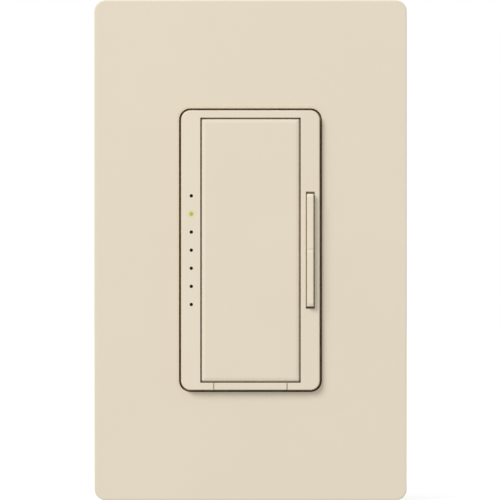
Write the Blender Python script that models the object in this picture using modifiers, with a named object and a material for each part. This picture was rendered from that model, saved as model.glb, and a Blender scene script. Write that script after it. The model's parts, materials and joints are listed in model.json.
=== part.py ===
"""Tap dimmer for a wall box: paddle, raise/lower rocker, level lights and a screwless wallplate.

Lengths are in metres. X runs to the right, Y into the wall and Z up. The origin is the middle of
the plate on the wall's surface, so the controls lie at negative Y and the housing at positive Y.
"""

import math

import bmesh
import bpy
from mathutils import Matrix, Vector

# Clearances that all pieces share
SEAT_GAP = 0.0003            # between pieces that rest on each other
CONTACT_GAP = 0.0001         # between pieces that press on each other
RUNNING_GAP = 0.0002         # round a pin or plunger that moves
THREAD_GAP = 0.00015         # round a screw in its hole
BITE = 0.0005                # how far joined shapes run into each other
PAST = 0.001                 # how far a cutter runs past a wall

# Tap paddle
PADDLE_WIDTH = 0.0233
PADDLE_HEIGHT = 0.0626
PADDLE_GAP = 0.00033
PADDLE_SKIN = 0.0018
PADDLE_SKIRT_DEPTH = 0.0042
PADDLE_SKIRT_WALL = 0.0012
PADDLE_EDGE_ROUND = 0.0004
PADDLE_PIVOT_DROP = 0.0022   # from the top edge down to the pivot
PADDLE_PIVOT_DEPTH = 0.0033  # from the front face back to the pivot
PADDLE_PIN_RADIUS = 0.0008
PADDLE_PIN_REACH = 0.0006    # into the bezel's wall
PADDLE_SWITCH_ARM = 0.0275   # from the pivot down to the switch
PADDLE_POST_RADIUS = 0.0014
PADDLE_SPRING_ARM = 0.043    # from the pivot down to the return spring
PADDLE_RIB_WALL = 0.0010
PADDLE_RIB_CLEARANCE = 0.0020  # from the spring to the rib above it

# Return spring
SPRING_RADIUS = 0.0020
SPRING_WIRE_RADIUS = 0.00025
SPRING_CURLS = 5
SPRING_POINTS_A_CURL = 10
SPRING_STUB_RADIUS = 0.0011
SPRING_STUB_LENGTH = 0.0012

# Dimming rocker
ROCKER_WIDTH = 0.00167
ROCKER_LENGTH = 0.0271
ROCKER_PROUD = 0.0013        # in front of the bezel's flat face
ROCKER_SIDE_GAP = 0.00012
ROCKER_END_GAP = 0.00045
ROCKER_ROOM = 0.00045        # beside the rocker, inside the bezel's side bar
ROCKER_PIVOT_DEPTH = 0.0039
ROCKER_PIN_RADIUS = 0.0007
ROCKER_PIN_REACH = 0.0005    # into the bezel's walls
ROCKER_BACKING = 0.0003      # behind the pin
ROCKER_ARM = 0.0115          # from the pivot to each switch
ROCKER_LEG_LENGTH = 0.0020   # along Z
ROCKER_GROOVE_RADIUS = 0.0013
ROCKER_GROOVE_DEPTH = 0.00012
ROCKER_EDGE_ROUND = 0.0002

# Bezel
BEZEL_RAIL = 0.00172         # bars above and below the paddle
BEZEL_WALL = 0.0010
BEZEL_SKIN = 0.0014
BEZEL_PROUD = 0.0017         # in front of the wallplate
BEZEL_FALL = 0.00023         # how far the side bars fall back at their outer edges
BEZEL_CORNER = 0.0022
BEZEL_EDGE_ROUND = 0.0002
FLANGE_REACH = 0.0008
FLANGE_THICKNESS = 0.0012
LEG_WIDTH = 0.0040
LEG_FLEX = 0.0009            # room for a leg to bend as it snaps in
LEG_CLEARANCE = 0.0013       # from a leg to the housing's screw post
HOOK_REACH = 0.0008
HOOK_HEIGHT = 0.0012

# Service switch
SERVICE_WIDTH = 0.0175
SERVICE_GAP = 0.00015
SERVICE_DEPTH = 0.0044
SERVICE_EDGE_ROUND = 0.0002
SERVICE_TRAVEL = 0.0040
SERVICE_ARM_WIDTH = 0.0100
SERVICE_ARM_INSET = 0.0003   # from the tab's lower edge up to the arm
SERVICE_ARM_THICKNESS = 0.0013
SERVICE_RELIEF = 0.0002      # how far the arm's cut runs below the bezel's lower edge
BRIDGE_OVERHANG = 0.0020     # past the arm on each side
BRIDGE_HEIGHT = 0.0022
BRIDGE_THICKNESS = 0.0006
BRIDGE_BUTTON_HEIGHT = 0.0006
BUTTON_RADIUS = 0.0009
CONTACT_WIDTH = 0.0034
CONTACT_HEIGHT = 0.0070
CONTACT_THICKNESS = 0.0008
CONTACT_RIB_WALL = 0.0015

# Level lights and light pipe
LIGHT_COUNT = 7
LIT_NUMBER = 2               # counted from the top
LIGHT_PITCH = 0.00432
LIGHT_INSET = 0.00015        # from the side bar's middle towards the paddle
LIGHT_TIP_RADIUS = 0.00032
LIGHT_HOLE_GAP = 0.00008
LIGHT_TIP_RECESS = 0.0004
LIGHT_SIZE = 0.0016
LIGHT_HEIGHT = 0.0008
PIPE_RAIL_WIDTH = 0.0018
PIPE_RAIL_DEPTH = 0.0020
PIPE_ROD_RADIUS = 0.0007
PIPE_FOOT_LENGTH = 0.0016
PIPE_FOOT_LAND = 0.0004      # from the yoke's slot to the foot
PIPE_SLOT_GAP = 0.0004

# Yoke
YOKE_THICKNESS = 0.0016
YOKE_BESIDE_BEZEL = 0.00545
YOKE_BEYOND_HOUSING = 0.00075
YOKE_CORNER = 0.0025
EAR_EDGE = 0.0012            # from the ground screw's head to the ear's edge
EAR_MARGIN = 0.0036          # from a plate screw to the ear's end
SWITCH_WINDOW_GAP = 0.0004

# Screws
DEVICE_SCREW_RADIUS = 0.0017
DEVICE_SCREW_LENGTH = 0.0240
DEVICE_HEAD_RADIUS = 0.0032
DEVICE_HEAD_HEIGHT = 0.0020
DEVICE_SLOT_PLAY = 0.0015    # sideways play of a device screw in its slot
PLATE_SCREW_RADIUS = 0.00165
PLATE_SCREW_LENGTH = 0.0070
PLATE_HEAD_RADIUS = 0.0027
PLATE_HEAD_HEIGHT = 0.0016
HEAD_CLEARANCE = 0.0006      # from a plate screw's head to the plate's inside
GROUND_SCREW_RADIUS = 0.0017
GROUND_HEAD_RADIUS = 0.0028
GROUND_HEAD_HEIGHT = 0.0020
GROUND_CLEARANCE = 0.0007
HOUSING_SCREW_RADIUS = 0.0013
HOUSING_HEAD_RADIUS = 0.0024
HOUSING_HEAD_HEIGHT = 0.0016
TERMINAL_SCREW_RADIUS = 0.0016
TERMINAL_SCREW_LENGTH = 0.0050
TERMINAL_HEAD_RADIUS = 0.0031
TERMINAL_HEAD_HEIGHT = 0.0016
DRIVE_SLOT_WIDTH = 0.0010
DRIVE_SLOT_SHARE = 0.5       # slot depth as a share of the head's height
HEAD_TOP_SHARE = 0.7         # flat top of a screw's or rivet's head as a share of its radius
HEAD_SIDE_SHARE = 0.45       # upright side of a screw's head as a share of its height
WASHER_SIZE = 0.0090
WASHER_THICKNESS = 0.0005

# Wallplate and its adapter
PLATE_WALL = 0.0018
PLATE_BESIDE_YOKE = 0.0153
PLATE_BEYOND_EAR = 0.0077
PLATE_CORNER = 0.00263
PLATE_EDGE_ROUND = 0.0002
OPENING_GAP = 0.0005
COLLAR_WALL = 0.0010
COLLAR_DEPTH = 0.0010
ADAPTER_THICKNESS = 0.0016
ADAPTER_RIB_INSET = 0.0030
ADAPTER_RIB_WALL = 0.0012
NOTCH_CLEARANCE = 0.0004     # round a device screw's head
NOTCH_WALL = 0.0012          # between that notch and the plate screw's hole
CATCH_WIDTH = 0.0080
CATCH_REACH = 0.0011
CATCH_HEIGHT = 0.0010
CATCH_OFFSET = 0.0360        # from the plate's middle to a side catch
END_CATCH_OFFSET = 0.0200    # from the plate's middle to an end catch

# Back housing
HOUSING_INSET = 0.00025      # inside the yoke's edge
HOUSING_BEYOND_BEZEL = 0.00215
HOUSING_DEPTH = 0.0300
HOUSING_WALL = 0.0018
HOUSING_CORNER = 0.0025
HOUSING_EDGE_ROUND = 0.0010
SCREW_BEYOND_HOUSING = 0.00615
POST_INSET = 0.0040
POST_TOP_RADIUS = 0.0024
POST_RADIUS = 0.0034
WIRE_HOLE_RADIUS = 0.0012
WIRE_HOLE_SPREAD = 0.0026

# Circuit board and what it carries
BOARD_THICKNESS = 0.0016
BOARD_CLEARANCE = 0.0011     # from the bezel's hooks to the board
BOARD_GAP = 0.0004
BOARD_SERVICE_GAP = 0.0010   # from the bridge contact to the board
BOARD_EDGE = 0.0015          # from the board's edge to the parts on it
SWITCH_SIZE = 0.0060
SWITCH_HEIGHT = 0.0035
PLUNGER_RADIUS = 0.0015
PLUNGER_REACH = 0.0012
PLUNGER_LENGTH = 0.0030
PLUNGER_STROKE = 0.0006      # room behind and in front of a plunger
CHIP_SIZE = 0.0070
CHIP_HEIGHT = 0.0012
CHIP_FROM_MIDDLE = 0.0075
CHIP_FROM_BOTTOM = 0.0090
FILM_WIDTH = 0.0090
FILM_LENGTH = 0.0180
FILM_HEIGHT = 0.0100
FILM_DROP = 0.0020           # below the board's middle
BULK_RADIUS = 0.0040
BULK_HEIGHT = 0.0140
BULK_FROM_TOP = 0.0123
VARISTOR_RADIUS = 0.0045
VARISTOR_THICKNESS = 0.0040
CHOKE_RING_RADIUS = 0.0062
CHOKE_CORE_RADIUS = 0.0026
CHOKE_WIRE_RADIUS = 0.00035
CHOKE_WIRE_GAP = 0.0002
CHOKE_TURNS = 14
CHOKE_POINTS_A_TURN = 9
CHOKE_SWEEP = 320            # degrees of the ring that the winding covers

# Triac on the yoke
TRIAC_WIDTH = 0.0102
TRIAC_TAB_THICKNESS = 0.0013
TRIAC_BODY_THICKNESS = 0.0045
TRIAC_BODY_LENGTH = 0.0092
TRIAC_TAB_LENGTH = 0.0062
TRIAC_FROM_TOP = 0.0023      # from the board's upper edge
TRIAC_LEAD_PITCH = 0.00254
TRIAC_LEAD_WIDTH = 0.0008
TRIAC_LEAD_THICKNESS = 0.0005
TRIAC_LEAD_LENGTH = 0.0013
TRIAC_NOTCH_GAP = 0.0014
PAD_THICKNESS = 0.0003
RIVET_RADIUS = 0.0015
RIVET_HEAD_RADIUS = 0.0023
RIVET_HEAD_HEIGHT = 0.0008

# Screw terminals in the housing's sides
TERMINAL_DEPTH = 0.0197      # from the housing's front rim
TERMINAL_OFFSET = 0.0140     # above or below the middle
TERMINAL_PLATE_THICKNESS = 0.0010
TERMINAL_MARGIN = 0.0018     # how far a plate runs past its window
TERMINAL_WINDOW_GAP = 0.0006

# Steps in round shapes
CORNER_STEPS = 5
ROUND_SIDES = 16
PIN_SIDES = 10
PIPE_SIDES = 8
CHOKE_RING_SIDES = 20
CHOKE_CORE_SIDES = 8
WIRE_BEVEL_STEPS = 1
EDGE_STEPS = 2

# Angles and distances that decide what is smooth, rounded or merged
SMOOTH_BELOW = math.radians(40)
ROUNDED_ABOVE = math.radians(50)
FLAT_WITHIN = 0.01           # radians between faces that count as one
MERGE_WITHIN = 1e-6

# Widths, from the paddle outwards
SIDE_BAR = 2 * BEZEL_WALL + ROCKER_WIDTH + 2 * ROCKER_ROOM
WINDOW_HALF_WIDTH = PADDLE_WIDTH / 2 + PADDLE_GAP
BEZEL_WIDTH = 2 * (WINDOW_HALF_WIDTH + SIDE_BAR)
BEZEL_HALF_WIDTH = BEZEL_WIDTH / 2
CAVITY_INNER = WINDOW_HALF_WIDTH + BEZEL_WALL
CAVITY_OUTER = BEZEL_HALF_WIDTH - BEZEL_WALL
ROCKER_X = WINDOW_HALF_WIDTH + SIDE_BAR / 2
LIGHT_X = LIGHT_INSET - ROCKER_X
YOKE_WIDTH = BEZEL_WIDTH + 2 * YOKE_BESIDE_BEZEL
HOUSING_WIDTH = YOKE_WIDTH - 2 * HOUSING_INSET
HOUSING_INSIDE_X = HOUSING_WIDTH / 2 - HOUSING_WALL
POST_X = HOUSING_WIDTH / 2 - POST_INSET
BOARD_HALF_WIDTH = HOUSING_INSIDE_X - BOARD_GAP
PLATE_WIDTH = YOKE_WIDTH + 2 * PLATE_BESIDE_YOKE
PLATE_INSIDE_X = PLATE_WIDTH / 2 - PLATE_WALL
ADAPTER_HALF_WIDTH = PLATE_INSIDE_X - SEAT_GAP
GROUND_X = WASHER_SIZE / 2 + GROUND_CLEARANCE + GROUND_HEAD_RADIUS
EAR_WIDTH = 2 * (GROUND_X + GROUND_HEAD_RADIUS + EAR_EDGE)

# Heights, from the paddle outwards: device screws 83.3 mm apart, plate screws 96.8 mm apart
WINDOW_HALF_HEIGHT = PADDLE_HEIGHT / 2 + PADDLE_GAP
BEZEL_HALF_HEIGHT = WINDOW_HALF_HEIGHT + BEZEL_RAIL
HOUSING_HALF_HEIGHT = BEZEL_HALF_HEIGHT + HOUSING_BEYOND_BEZEL
HOUSING_INSIDE_Z = HOUSING_HALF_HEIGHT - HOUSING_WALL
POST_Z = HOUSING_HALF_HEIGHT - POST_INSET
LEG_Z = POST_Z - POST_TOP_RADIUS - LEG_CLEARANCE - LEG_WIDTH / 2
DEVICE_SCREW_Z = HOUSING_HALF_HEIGHT + SCREW_BEYOND_HOUSING
PLATE_HOLE_RADIUS = PLATE_SCREW_RADIUS + 2 * THREAD_GAP
NOTCH_RADIUS = DEVICE_HEAD_RADIUS + NOTCH_CLEARANCE
PLATE_SCREW_Z = DEVICE_SCREW_Z + NOTCH_RADIUS + NOTCH_WALL + PLATE_HOLE_RADIUS
YOKE_HALF_HEIGHT = PLATE_SCREW_Z + EAR_MARGIN
PLATE_HEIGHT = 2 * (YOKE_HALF_HEIGHT + PLATE_BEYOND_EAR)
PLATE_INSIDE_Z = PLATE_HEIGHT / 2 - PLATE_WALL
ADAPTER_HALF_HEIGHT = PLATE_INSIDE_Z - SEAT_GAP
PADDLE_PIVOT_Z = PADDLE_HEIGHT / 2 - PADDLE_PIVOT_DROP
PADDLE_SWITCH_Z = PADDLE_PIVOT_Z - PADDLE_SWITCH_ARM
SPRING_Z = PADDLE_PIVOT_Z - PADDLE_SPRING_ARM
ARM_BOTTOM = SERVICE_ARM_INSET - BEZEL_HALF_HEIGHT
ARM_TOP = ARM_BOTTOM + SERVICE_ARM_THICKNESS
BRIDGE_TOP = ARM_BOTTOM + BRIDGE_HEIGHT
BOARD_BOTTOM = BRIDGE_TOP + BOARD_SERVICE_GAP
BOARD_TOP = HOUSING_INSIDE_Z - BOARD_GAP

# Depths, with the wall's surface and the yoke's back at zero
YOKE_FRONT = -YOKE_THICKNESS
ADAPTER_BACK = YOKE_FRONT - SEAT_GAP
ADAPTER_FRONT = ADAPTER_BACK - ADAPTER_THICKNESS
PLATE_INSIDE_Y = ADAPTER_FRONT - CONTACT_GAP - PLATE_HEAD_HEIGHT - HEAD_CLEARANCE
PLATE_FRONT = PLATE_INSIDE_Y - PLATE_WALL
BEZEL_FRONT = PLATE_FRONT - BEZEL_PROUD
BEZEL_BACK = YOKE_FRONT - SEAT_GAP
CAVITY_FRONT = BEZEL_FRONT + BEZEL_FALL + BEZEL_SKIN
PADDLE_INSIDE = BEZEL_FRONT + PADDLE_SKIN
PADDLE_PIVOT_Y = BEZEL_FRONT + PADDLE_PIVOT_DEPTH
ROCKER_PIVOT_Y = BEZEL_FRONT + ROCKER_PIVOT_DEPTH
ROCKER_BACK = ROCKER_PIVOT_Y + ROCKER_PIN_RADIUS + ROCKER_BACKING
SERVICE_BACK = BEZEL_FRONT + SERVICE_DEPTH
BRIDGE_FRONT = SERVICE_TRAVEL + 2 * SEAT_GAP
FIXED_CONTACT_FRONT = BRIDGE_FRONT + BRIDGE_THICKNESS + BRIDGE_BUTTON_HEIGHT + CONTACT_GAP
CONTACT_RIB_FRONT = FIXED_CONTACT_FRONT + CONTACT_THICKNESS + SEAT_GAP
HOOK_BACK = SEAT_GAP + HOOK_HEIGHT
BOARD_FRONT = HOOK_BACK + BOARD_CLEARANCE
BOARD_BACK = BOARD_FRONT + BOARD_THICKNESS
PARTS_FRONT = BOARD_BACK + SEAT_GAP
SWITCH_BACK = BOARD_FRONT - CONTACT_GAP
SWITCH_FRONT = SWITCH_BACK - SWITCH_HEIGHT
PLUNGER_FRONT = SWITCH_FRONT - PLUNGER_REACH
LIGHT_FRONT = BOARD_FRONT - CONTACT_GAP - LIGHT_HEIGHT
PIPE_RAIL_FRONT = CAVITY_FRONT + SEAT_GAP
PIPE_RAIL_BACK = PIPE_RAIL_FRONT + PIPE_RAIL_DEPTH
HOUSING_BACK = SEAT_GAP + HOUSING_DEPTH
TERMINAL_Y = SEAT_GAP + TERMINAL_DEPTH

# Where the lights stand, from the top down
LIGHT_TOP = LIGHT_PITCH * (LIGHT_COUNT - 1) / 2
LIGHT_HEIGHTS = [LIGHT_TOP - LIGHT_PITCH * place for place in range(LIGHT_COUNT)]
LIGHT_SLOT_HALF = LIGHT_TOP + PIPE_ROD_RADIUS + PIPE_SLOT_GAP
PIPE_FOOT_Z = LIGHT_SLOT_HALF + PIPE_FOOT_LAND + PIPE_FOOT_LENGTH / 2

# Where the three switches stand: name, X, Z
SWITCHES = (
    ("paddle_switch", 0.0, PADDLE_SWITCH_Z),
    ("raise_switch", ROCKER_X, ROCKER_ARM),
    ("lower_switch", ROCKER_X, -ROCKER_ARM),
)

# Where the screw terminals stand: side, Z
TERMINALS = ((1, TERMINAL_OFFSET), (1, -TERMINAL_OFFSET), (-1, -TERMINAL_OFFSET))

FRONT = Vector((0, -1, 0))
BACK = Vector((0, 1, 0))
UP = Vector((0, 0, 1))

# Turns a shape drawn flat in local X and Y so that its thickness runs along the named world axis.
TURNS = {
    "X": Matrix(((0, 0, 1), (1, 0, 0), (0, 1, 0))).to_4x4(),
    "Y": Matrix(((1, 0, 0), (0, 0, -1), (0, 1, 0))).to_4x4(),
    "Z": Matrix.Identity(4),
}


for old in list(bpy.data.objects):
    bpy.data.objects.remove(old)
PARTS = bpy.data.collections.new("tap_dimmer")
CUTTERS = bpy.data.collections.new("cutters")
bpy.context.scene.collection.children.link(PARTS)
bpy.context.scene.collection.children.link(CUTTERS)
ROOT = bpy.data.objects.new("tap_dimmer_origin", None)
PARTS.objects.link(ROOT)


def finish(name, colour, roughness, metallic=0.0):
    """A material of one colour."""
    made = bpy.data.materials.new(name)
    made.use_nodes = True
    shader = made.node_tree.nodes["Principled BSDF"]
    shader.inputs["Base Color"].default_value = (*colour, 1.0)
    shader.inputs["Roughness"].default_value = roughness
    shader.inputs["Metallic"].default_value = metallic
    return made


ALMOND = finish("almond_plastic", (0.76, 0.68, 0.54), 0.42)
ADAPTER_PLASTIC = finish("adapter_plastic", (0.70, 0.64, 0.53), 0.5)
BLACK_PLASTIC = finish("black_plastic", (0.03, 0.03, 0.032), 0.45)
CLEAR_PLASTIC = finish("clear_plastic", (0.20, 0.22, 0.18), 0.1)
WHITE_PLASTIC = finish("white_plastic", (0.75, 0.75, 0.72), 0.5)
ALUMINIUM = finish("aluminium", (0.78, 0.78, 0.79), 0.35, 1.0)
STEEL = finish("zinc_steel", (0.62, 0.62, 0.63), 0.3, 1.0)
BRASS = finish("brass", (0.78, 0.58, 0.24), 0.3, 1.0)
PAINTED_SCREW = finish("painted_screw", (0.76, 0.68, 0.54), 0.4)
LIT_LIGHT = finish("lit_light", (0.75, 0.75, 0.55), 0.3)
GREEN_SCREW = finish("green_screw", (0.08, 0.32, 0.12), 0.35, 1.0)
FIBRE = finish("fibre", (0.55, 0.42, 0.27), 0.8)
BOARD_GREEN = finish("board_green", (0.03, 0.18, 0.07), 0.4)
COPPER = finish("copper_wire", (0.72, 0.36, 0.18), 0.3, 1.0)
FERRITE = finish("ferrite", (0.10, 0.10, 0.11), 0.6)
CAPACITOR_BLUE = finish("capacitor_blue", (0.06, 0.16, 0.42), 0.4)
THERMAL_GREY = finish("thermal_grey", (0.45, 0.46, 0.48), 0.9)


def add_helper(name, mesh):
    """A hidden object that another is cut by or joined to, until make_part makes it a part."""
    made = bpy.data.objects.new(name, mesh)
    made.hide_render = True
    made.display_type = "WIRE"
    CUTTERS.objects.link(made)
    return made


def make_part(made, name, material, origin=None):
    """Makes a shape a named part, with its origin moved to the given point if there is one."""
    CUTTERS.objects.unlink(made)
    PARTS.objects.link(made)
    made.name = name
    made.parent = ROOT
    made.hide_render = False
    made.display_type = "TEXTURED"
    made.data.materials.append(material)
    if origin:
        made.data.transform(Matrix.Translation(-Vector(origin)))
        made.location = origin
    return made


def box(name, x, y, z):
    """A box between two values along each axis."""
    mesh = bpy.data.meshes.new(name)
    shape = bmesh.new()
    bmesh.ops.create_cube(shape, size=1.0)
    size = Matrix.Diagonal((x[1] - x[0], y[1] - y[0], z[1] - z[0], 1))
    middle = Matrix.Translation(((x[0] + x[1]) / 2, (y[0] + y[1]) / 2, (z[0] + z[1]) / 2))
    bmesh.ops.transform(shape, matrix=middle @ size, verts=shape.verts)
    shape.to_mesh(mesh)
    shape.free()
    return add_helper(name, mesh)


def around(middle, half):
    """The two ends of a span."""
    return (middle - half, middle + half)


def rod(name, along, centre, radius, low, high, sides=ROUND_SIDES):
    """A cylinder along an axis; centre is its place on the other two axes, in X, Y, Z order."""
    mesh = bpy.data.meshes.new(name)
    shape = bmesh.new()
    bmesh.ops.create_cone(
        shape, cap_ends=True, segments=sides, radius1=radius, radius2=radius, depth=high - low
    )
    middle = (low + high) / 2
    places = {"X": (middle, *centre), "Y": (centre[0], middle, centre[1]), "Z": (*centre, middle)}
    place = Matrix.Translation(places[along])
    bmesh.ops.transform(shape, matrix=place @ TURNS[along], verts=shape.verts)
    shape.to_mesh(mesh)
    shape.free()
    mesh.shade_smooth()
    mesh.set_sharp_from_angle(angle=SMOOTH_BELOW)
    return add_helper(name, mesh)


def rounded_rectangle(width, height, radius):
    """The outline of a rectangle with round corners, anticlockwise, centred on the origin."""
    outline = []
    corners = ((1, 1, 0), (-1, 1, 90), (-1, -1, 180), (1, -1, 270))
    for right, up, start in corners:
        for step in range(CORNER_STEPS + 1):
            angle = math.radians(start + 90 * step / CORNER_STEPS)
            across = right * (width / 2 - radius) + radius * math.cos(angle)
            along = up * (height / 2 - radius) + radius * math.sin(angle)
            outline.append((across, along))
    return outline


def prism(name, outline, along, low, high):
    """A flat outline drawn as a curve, given thickness along an axis and made a mesh."""
    curve = bpy.data.curves.new(name, "CURVE")
    curve.dimensions = "2D"
    curve.fill_mode = "BOTH"
    curve.extrude = (high - low) / 2
    spline = curve.splines.new("POLY")
    spline.points.add(len(outline) - 1)
    for point, (across, up) in zip(spline.points, outline):
        point.co = (across, up, 0, 1)
    spline.use_cyclic_u = True
    drawn = bpy.data.objects.new(name, curve)
    CUTTERS.objects.link(drawn)
    graph = bpy.context.evaluated_depsgraph_get()
    mesh = bpy.data.meshes.new_from_object(drawn.evaluated_get(graph))
    bpy.data.objects.remove(drawn)
    shape = bmesh.new()
    shape.from_mesh(mesh)
    bmesh.ops.remove_doubles(shape, verts=shape.verts, dist=MERGE_WITHIN)
    bmesh.ops.dissolve_limit(shape, angle_limit=FLAT_WITHIN, verts=shape.verts, edges=shape.edges)
    bmesh.ops.recalc_face_normals(shape, faces=shape.faces)
    middle = {"X": 0, "Y": 1, "Z": 2}[along]
    place = Vector((0, 0, 0))
    place[middle] = (low + high) / 2
    bmesh.ops.transform(shape, matrix=Matrix.Translation(place) @ TURNS[along], verts=shape.verts)
    shape.to_mesh(mesh)
    shape.free()
    mesh.name = name
    return add_helper(name, mesh)


def plate(name, width, height, radius, low, high):
    """A rectangle with round corners that lies across Y."""
    return prism(name, rounded_rectangle(width, height, radius), "Y", low, high)


def round_edges(made, level, radius, steps=EDGE_STEPS):
    """Rounds the edges that lie wholly at one depth."""
    shape = bmesh.new()
    shape.from_mesh(made.data)
    edges = [
        edge
        for edge in shape.edges
        if all(abs(vertex.co.y - level) < MERGE_WITHIN for vertex in edge.verts)
    ]
    bmesh.ops.bevel(
        shape, geom=edges, offset=radius, segments=steps, profile=0.5, affect="EDGES"
    )
    shape.to_mesh(made.data)
    shape.free()
    return made


def add_boolean(made, other, operation):
    modifier = made.modifiers.new(other.name, "BOOLEAN")
    modifier.operation = operation
    modifier.solver = "EXACT"
    modifier.object = other


def carve(made, *cutters):
    for cutter in cutters:
        add_boolean(made, cutter, "DIFFERENCE")


def fuse(made, *pieces):
    for piece in pieces:
        add_boolean(made, piece, "UNION")


def turned(name, profile, place, facing, sides=ROUND_SIDES):
    """A turned shape from (radius, height) points, top to bottom, with its top towards facing."""
    mesh = bpy.data.meshes.new(name)
    shape = bmesh.new()
    points = [shape.verts.new((radius, 0, height)) for radius, height in profile]
    for upper, lower in zip(points, points[1:]):
        shape.edges.new((upper, lower))
    shape.to_mesh(mesh)
    shape.free()
    made = add_helper(name, mesh)
    spin = made.modifiers.new("spin", "SCREW")
    spin.axis = "Z"
    spin.steps = sides
    spin.render_steps = sides
    spin.use_merge_vertices = True
    spin.merge_threshold = MERGE_WITHIN
    made.matrix_world = Matrix.Translation(place) @ UP.rotation_difference(facing).to_matrix().to_4x4()
    return made


def screw(name, place, facing, head, shank, length, material):
    """A slotted screw; place is the point under its head, head is its radius and height."""
    radius, height = head
    profile = (
        (0, height),
        (radius * HEAD_TOP_SHARE, height),
        (radius, height * HEAD_SIDE_SHARE),
        (radius, 0),
        (shank, 0),
        (shank, shank / 2 - length),
        (shank / 2, -length),
        (0, -length),
    )
    made = turned(name, profile, place, facing)
    slot_half = DRIVE_SLOT_WIDTH / 2
    reach = radius + PAST
    depth = (height * (1 - DRIVE_SLOT_SHARE), height + PAST)
    slot = box(name + "_slot", (-reach, reach), (-slot_half, slot_half), depth)
    slot.matrix_world = made.matrix_world
    carve(made, slot)
    return make_part(made, name, material)


def make_wallplate():
    """The snap-on front plate: an open tray with a collar round its opening and two catches an edge."""
    made = plate("wallplate", PLATE_WIDTH, PLATE_HEIGHT, PLATE_CORNER, PLATE_FRONT, 0)
    round_edges(made, PLATE_FRONT, PLATE_EDGE_ROUND)
    hollow = plate(
        "wallplate_hollow",
        2 * PLATE_INSIDE_X,
        2 * PLATE_INSIDE_Z,
        max(PLATE_CORNER - PLATE_WALL, PLATE_CORNER / 4),
        PLATE_INSIDE_Y,
        PAST,
    )
    carve(made, hollow)
    opening_width = BEZEL_WIDTH + 2 * OPENING_GAP
    opening_height = 2 * BEZEL_HALF_HEIGHT + 2 * OPENING_GAP
    opening_corner = BEZEL_CORNER + OPENING_GAP
    collar = plate(
        "wallplate_collar",
        opening_width + 2 * COLLAR_WALL,
        opening_height + 2 * COLLAR_WALL,
        opening_corner + COLLAR_WALL,
        PLATE_INSIDE_Y - BITE,
        PLATE_INSIDE_Y + COLLAR_DEPTH,
    )
    fuse(made, collar)
    depth = (ADAPTER_BACK + SEAT_GAP, ADAPTER_BACK + SEAT_GAP + CATCH_HEIGHT)
    half = CATCH_WIDTH / 2
    for side in (1, -1):
        across = sorted((side * (PLATE_INSIDE_X + BITE), side * (PLATE_INSIDE_X - CATCH_REACH)))
        for up in (1, -1):
            span = around(up * CATCH_OFFSET, half)
            fuse(made, box("wallplate_side_catch", across, depth, span))
        along = sorted((side * (PLATE_INSIDE_Z + BITE), side * (PLATE_INSIDE_Z - CATCH_REACH)))
        for right in (1, -1):
            span = around(right * END_CATCH_OFFSET, half)
            fuse(made, box("wallplate_end_catch", span, depth, along))
    opening = plate(
        "wallplate_opening",
        opening_width,
        opening_height,
        opening_corner,
        PLATE_FRONT - PAST,
        PAST,
    )
    carve(made, opening)
    make_part(made, "wallplate", ALMOND)


def make_adapter():
    """The frame under the wallplate, screwed to the yoke, with ribs that rest on the wall."""
    made = plate(
        "adapter",
        2 * ADAPTER_HALF_WIDTH,
        2 * ADAPTER_HALF_HEIGHT,
        PLATE_CORNER / 2,
        ADAPTER_FRONT,
        ADAPTER_BACK,
    )
    rib_outer = ADAPTER_HALF_WIDTH - ADAPTER_RIB_INSET
    rib_half_length = YOKE_HALF_HEIGHT
    for side in (1, -1):
        across = sorted((side * rib_outer, side * (rib_outer - ADAPTER_RIB_WALL)))
        span = (-rib_half_length, rib_half_length)
        fuse(made, box("adapter_rib", across, (ADAPTER_BACK - BITE, 0), span))
    through = (ADAPTER_FRONT - PAST, ADAPTER_BACK + PAST)
    grow = FLANGE_REACH + SEAT_GAP
    opening = plate(
        "adapter_opening",
        BEZEL_WIDTH + 2 * grow,
        2 * (BEZEL_HALF_HEIGHT + grow),
        BEZEL_CORNER + grow,
        *through,
    )
    carve(made, opening)
    for up in (1, -1):
        notch = sorted((up * (DEVICE_SCREW_Z + NOTCH_RADIUS), up * (BEZEL_HALF_HEIGHT - PAST)))
        carve(made, box("adapter_notch", around(0, NOTCH_RADIUS), through, notch))
        hole = (0, up * PLATE_SCREW_Z)
        carve(made, rod("adapter_hole", "Y", hole, PLATE_HOLE_RADIUS, *through))
    make_part(made, "plate_adapter", ADAPTER_PLASTIC)
    for word, up in (("upper", 1), ("lower", -1)):
        screw(
            "adapter_screw_" + word,
            (0, ADAPTER_FRONT - CONTACT_GAP, up * PLATE_SCREW_Z),
            FRONT,
            (PLATE_HEAD_RADIUS, PLATE_HEAD_HEIGHT),
            PLATE_SCREW_RADIUS,
            PLATE_SCREW_LENGTH,
            PAINTED_SCREW,
        )


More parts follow.
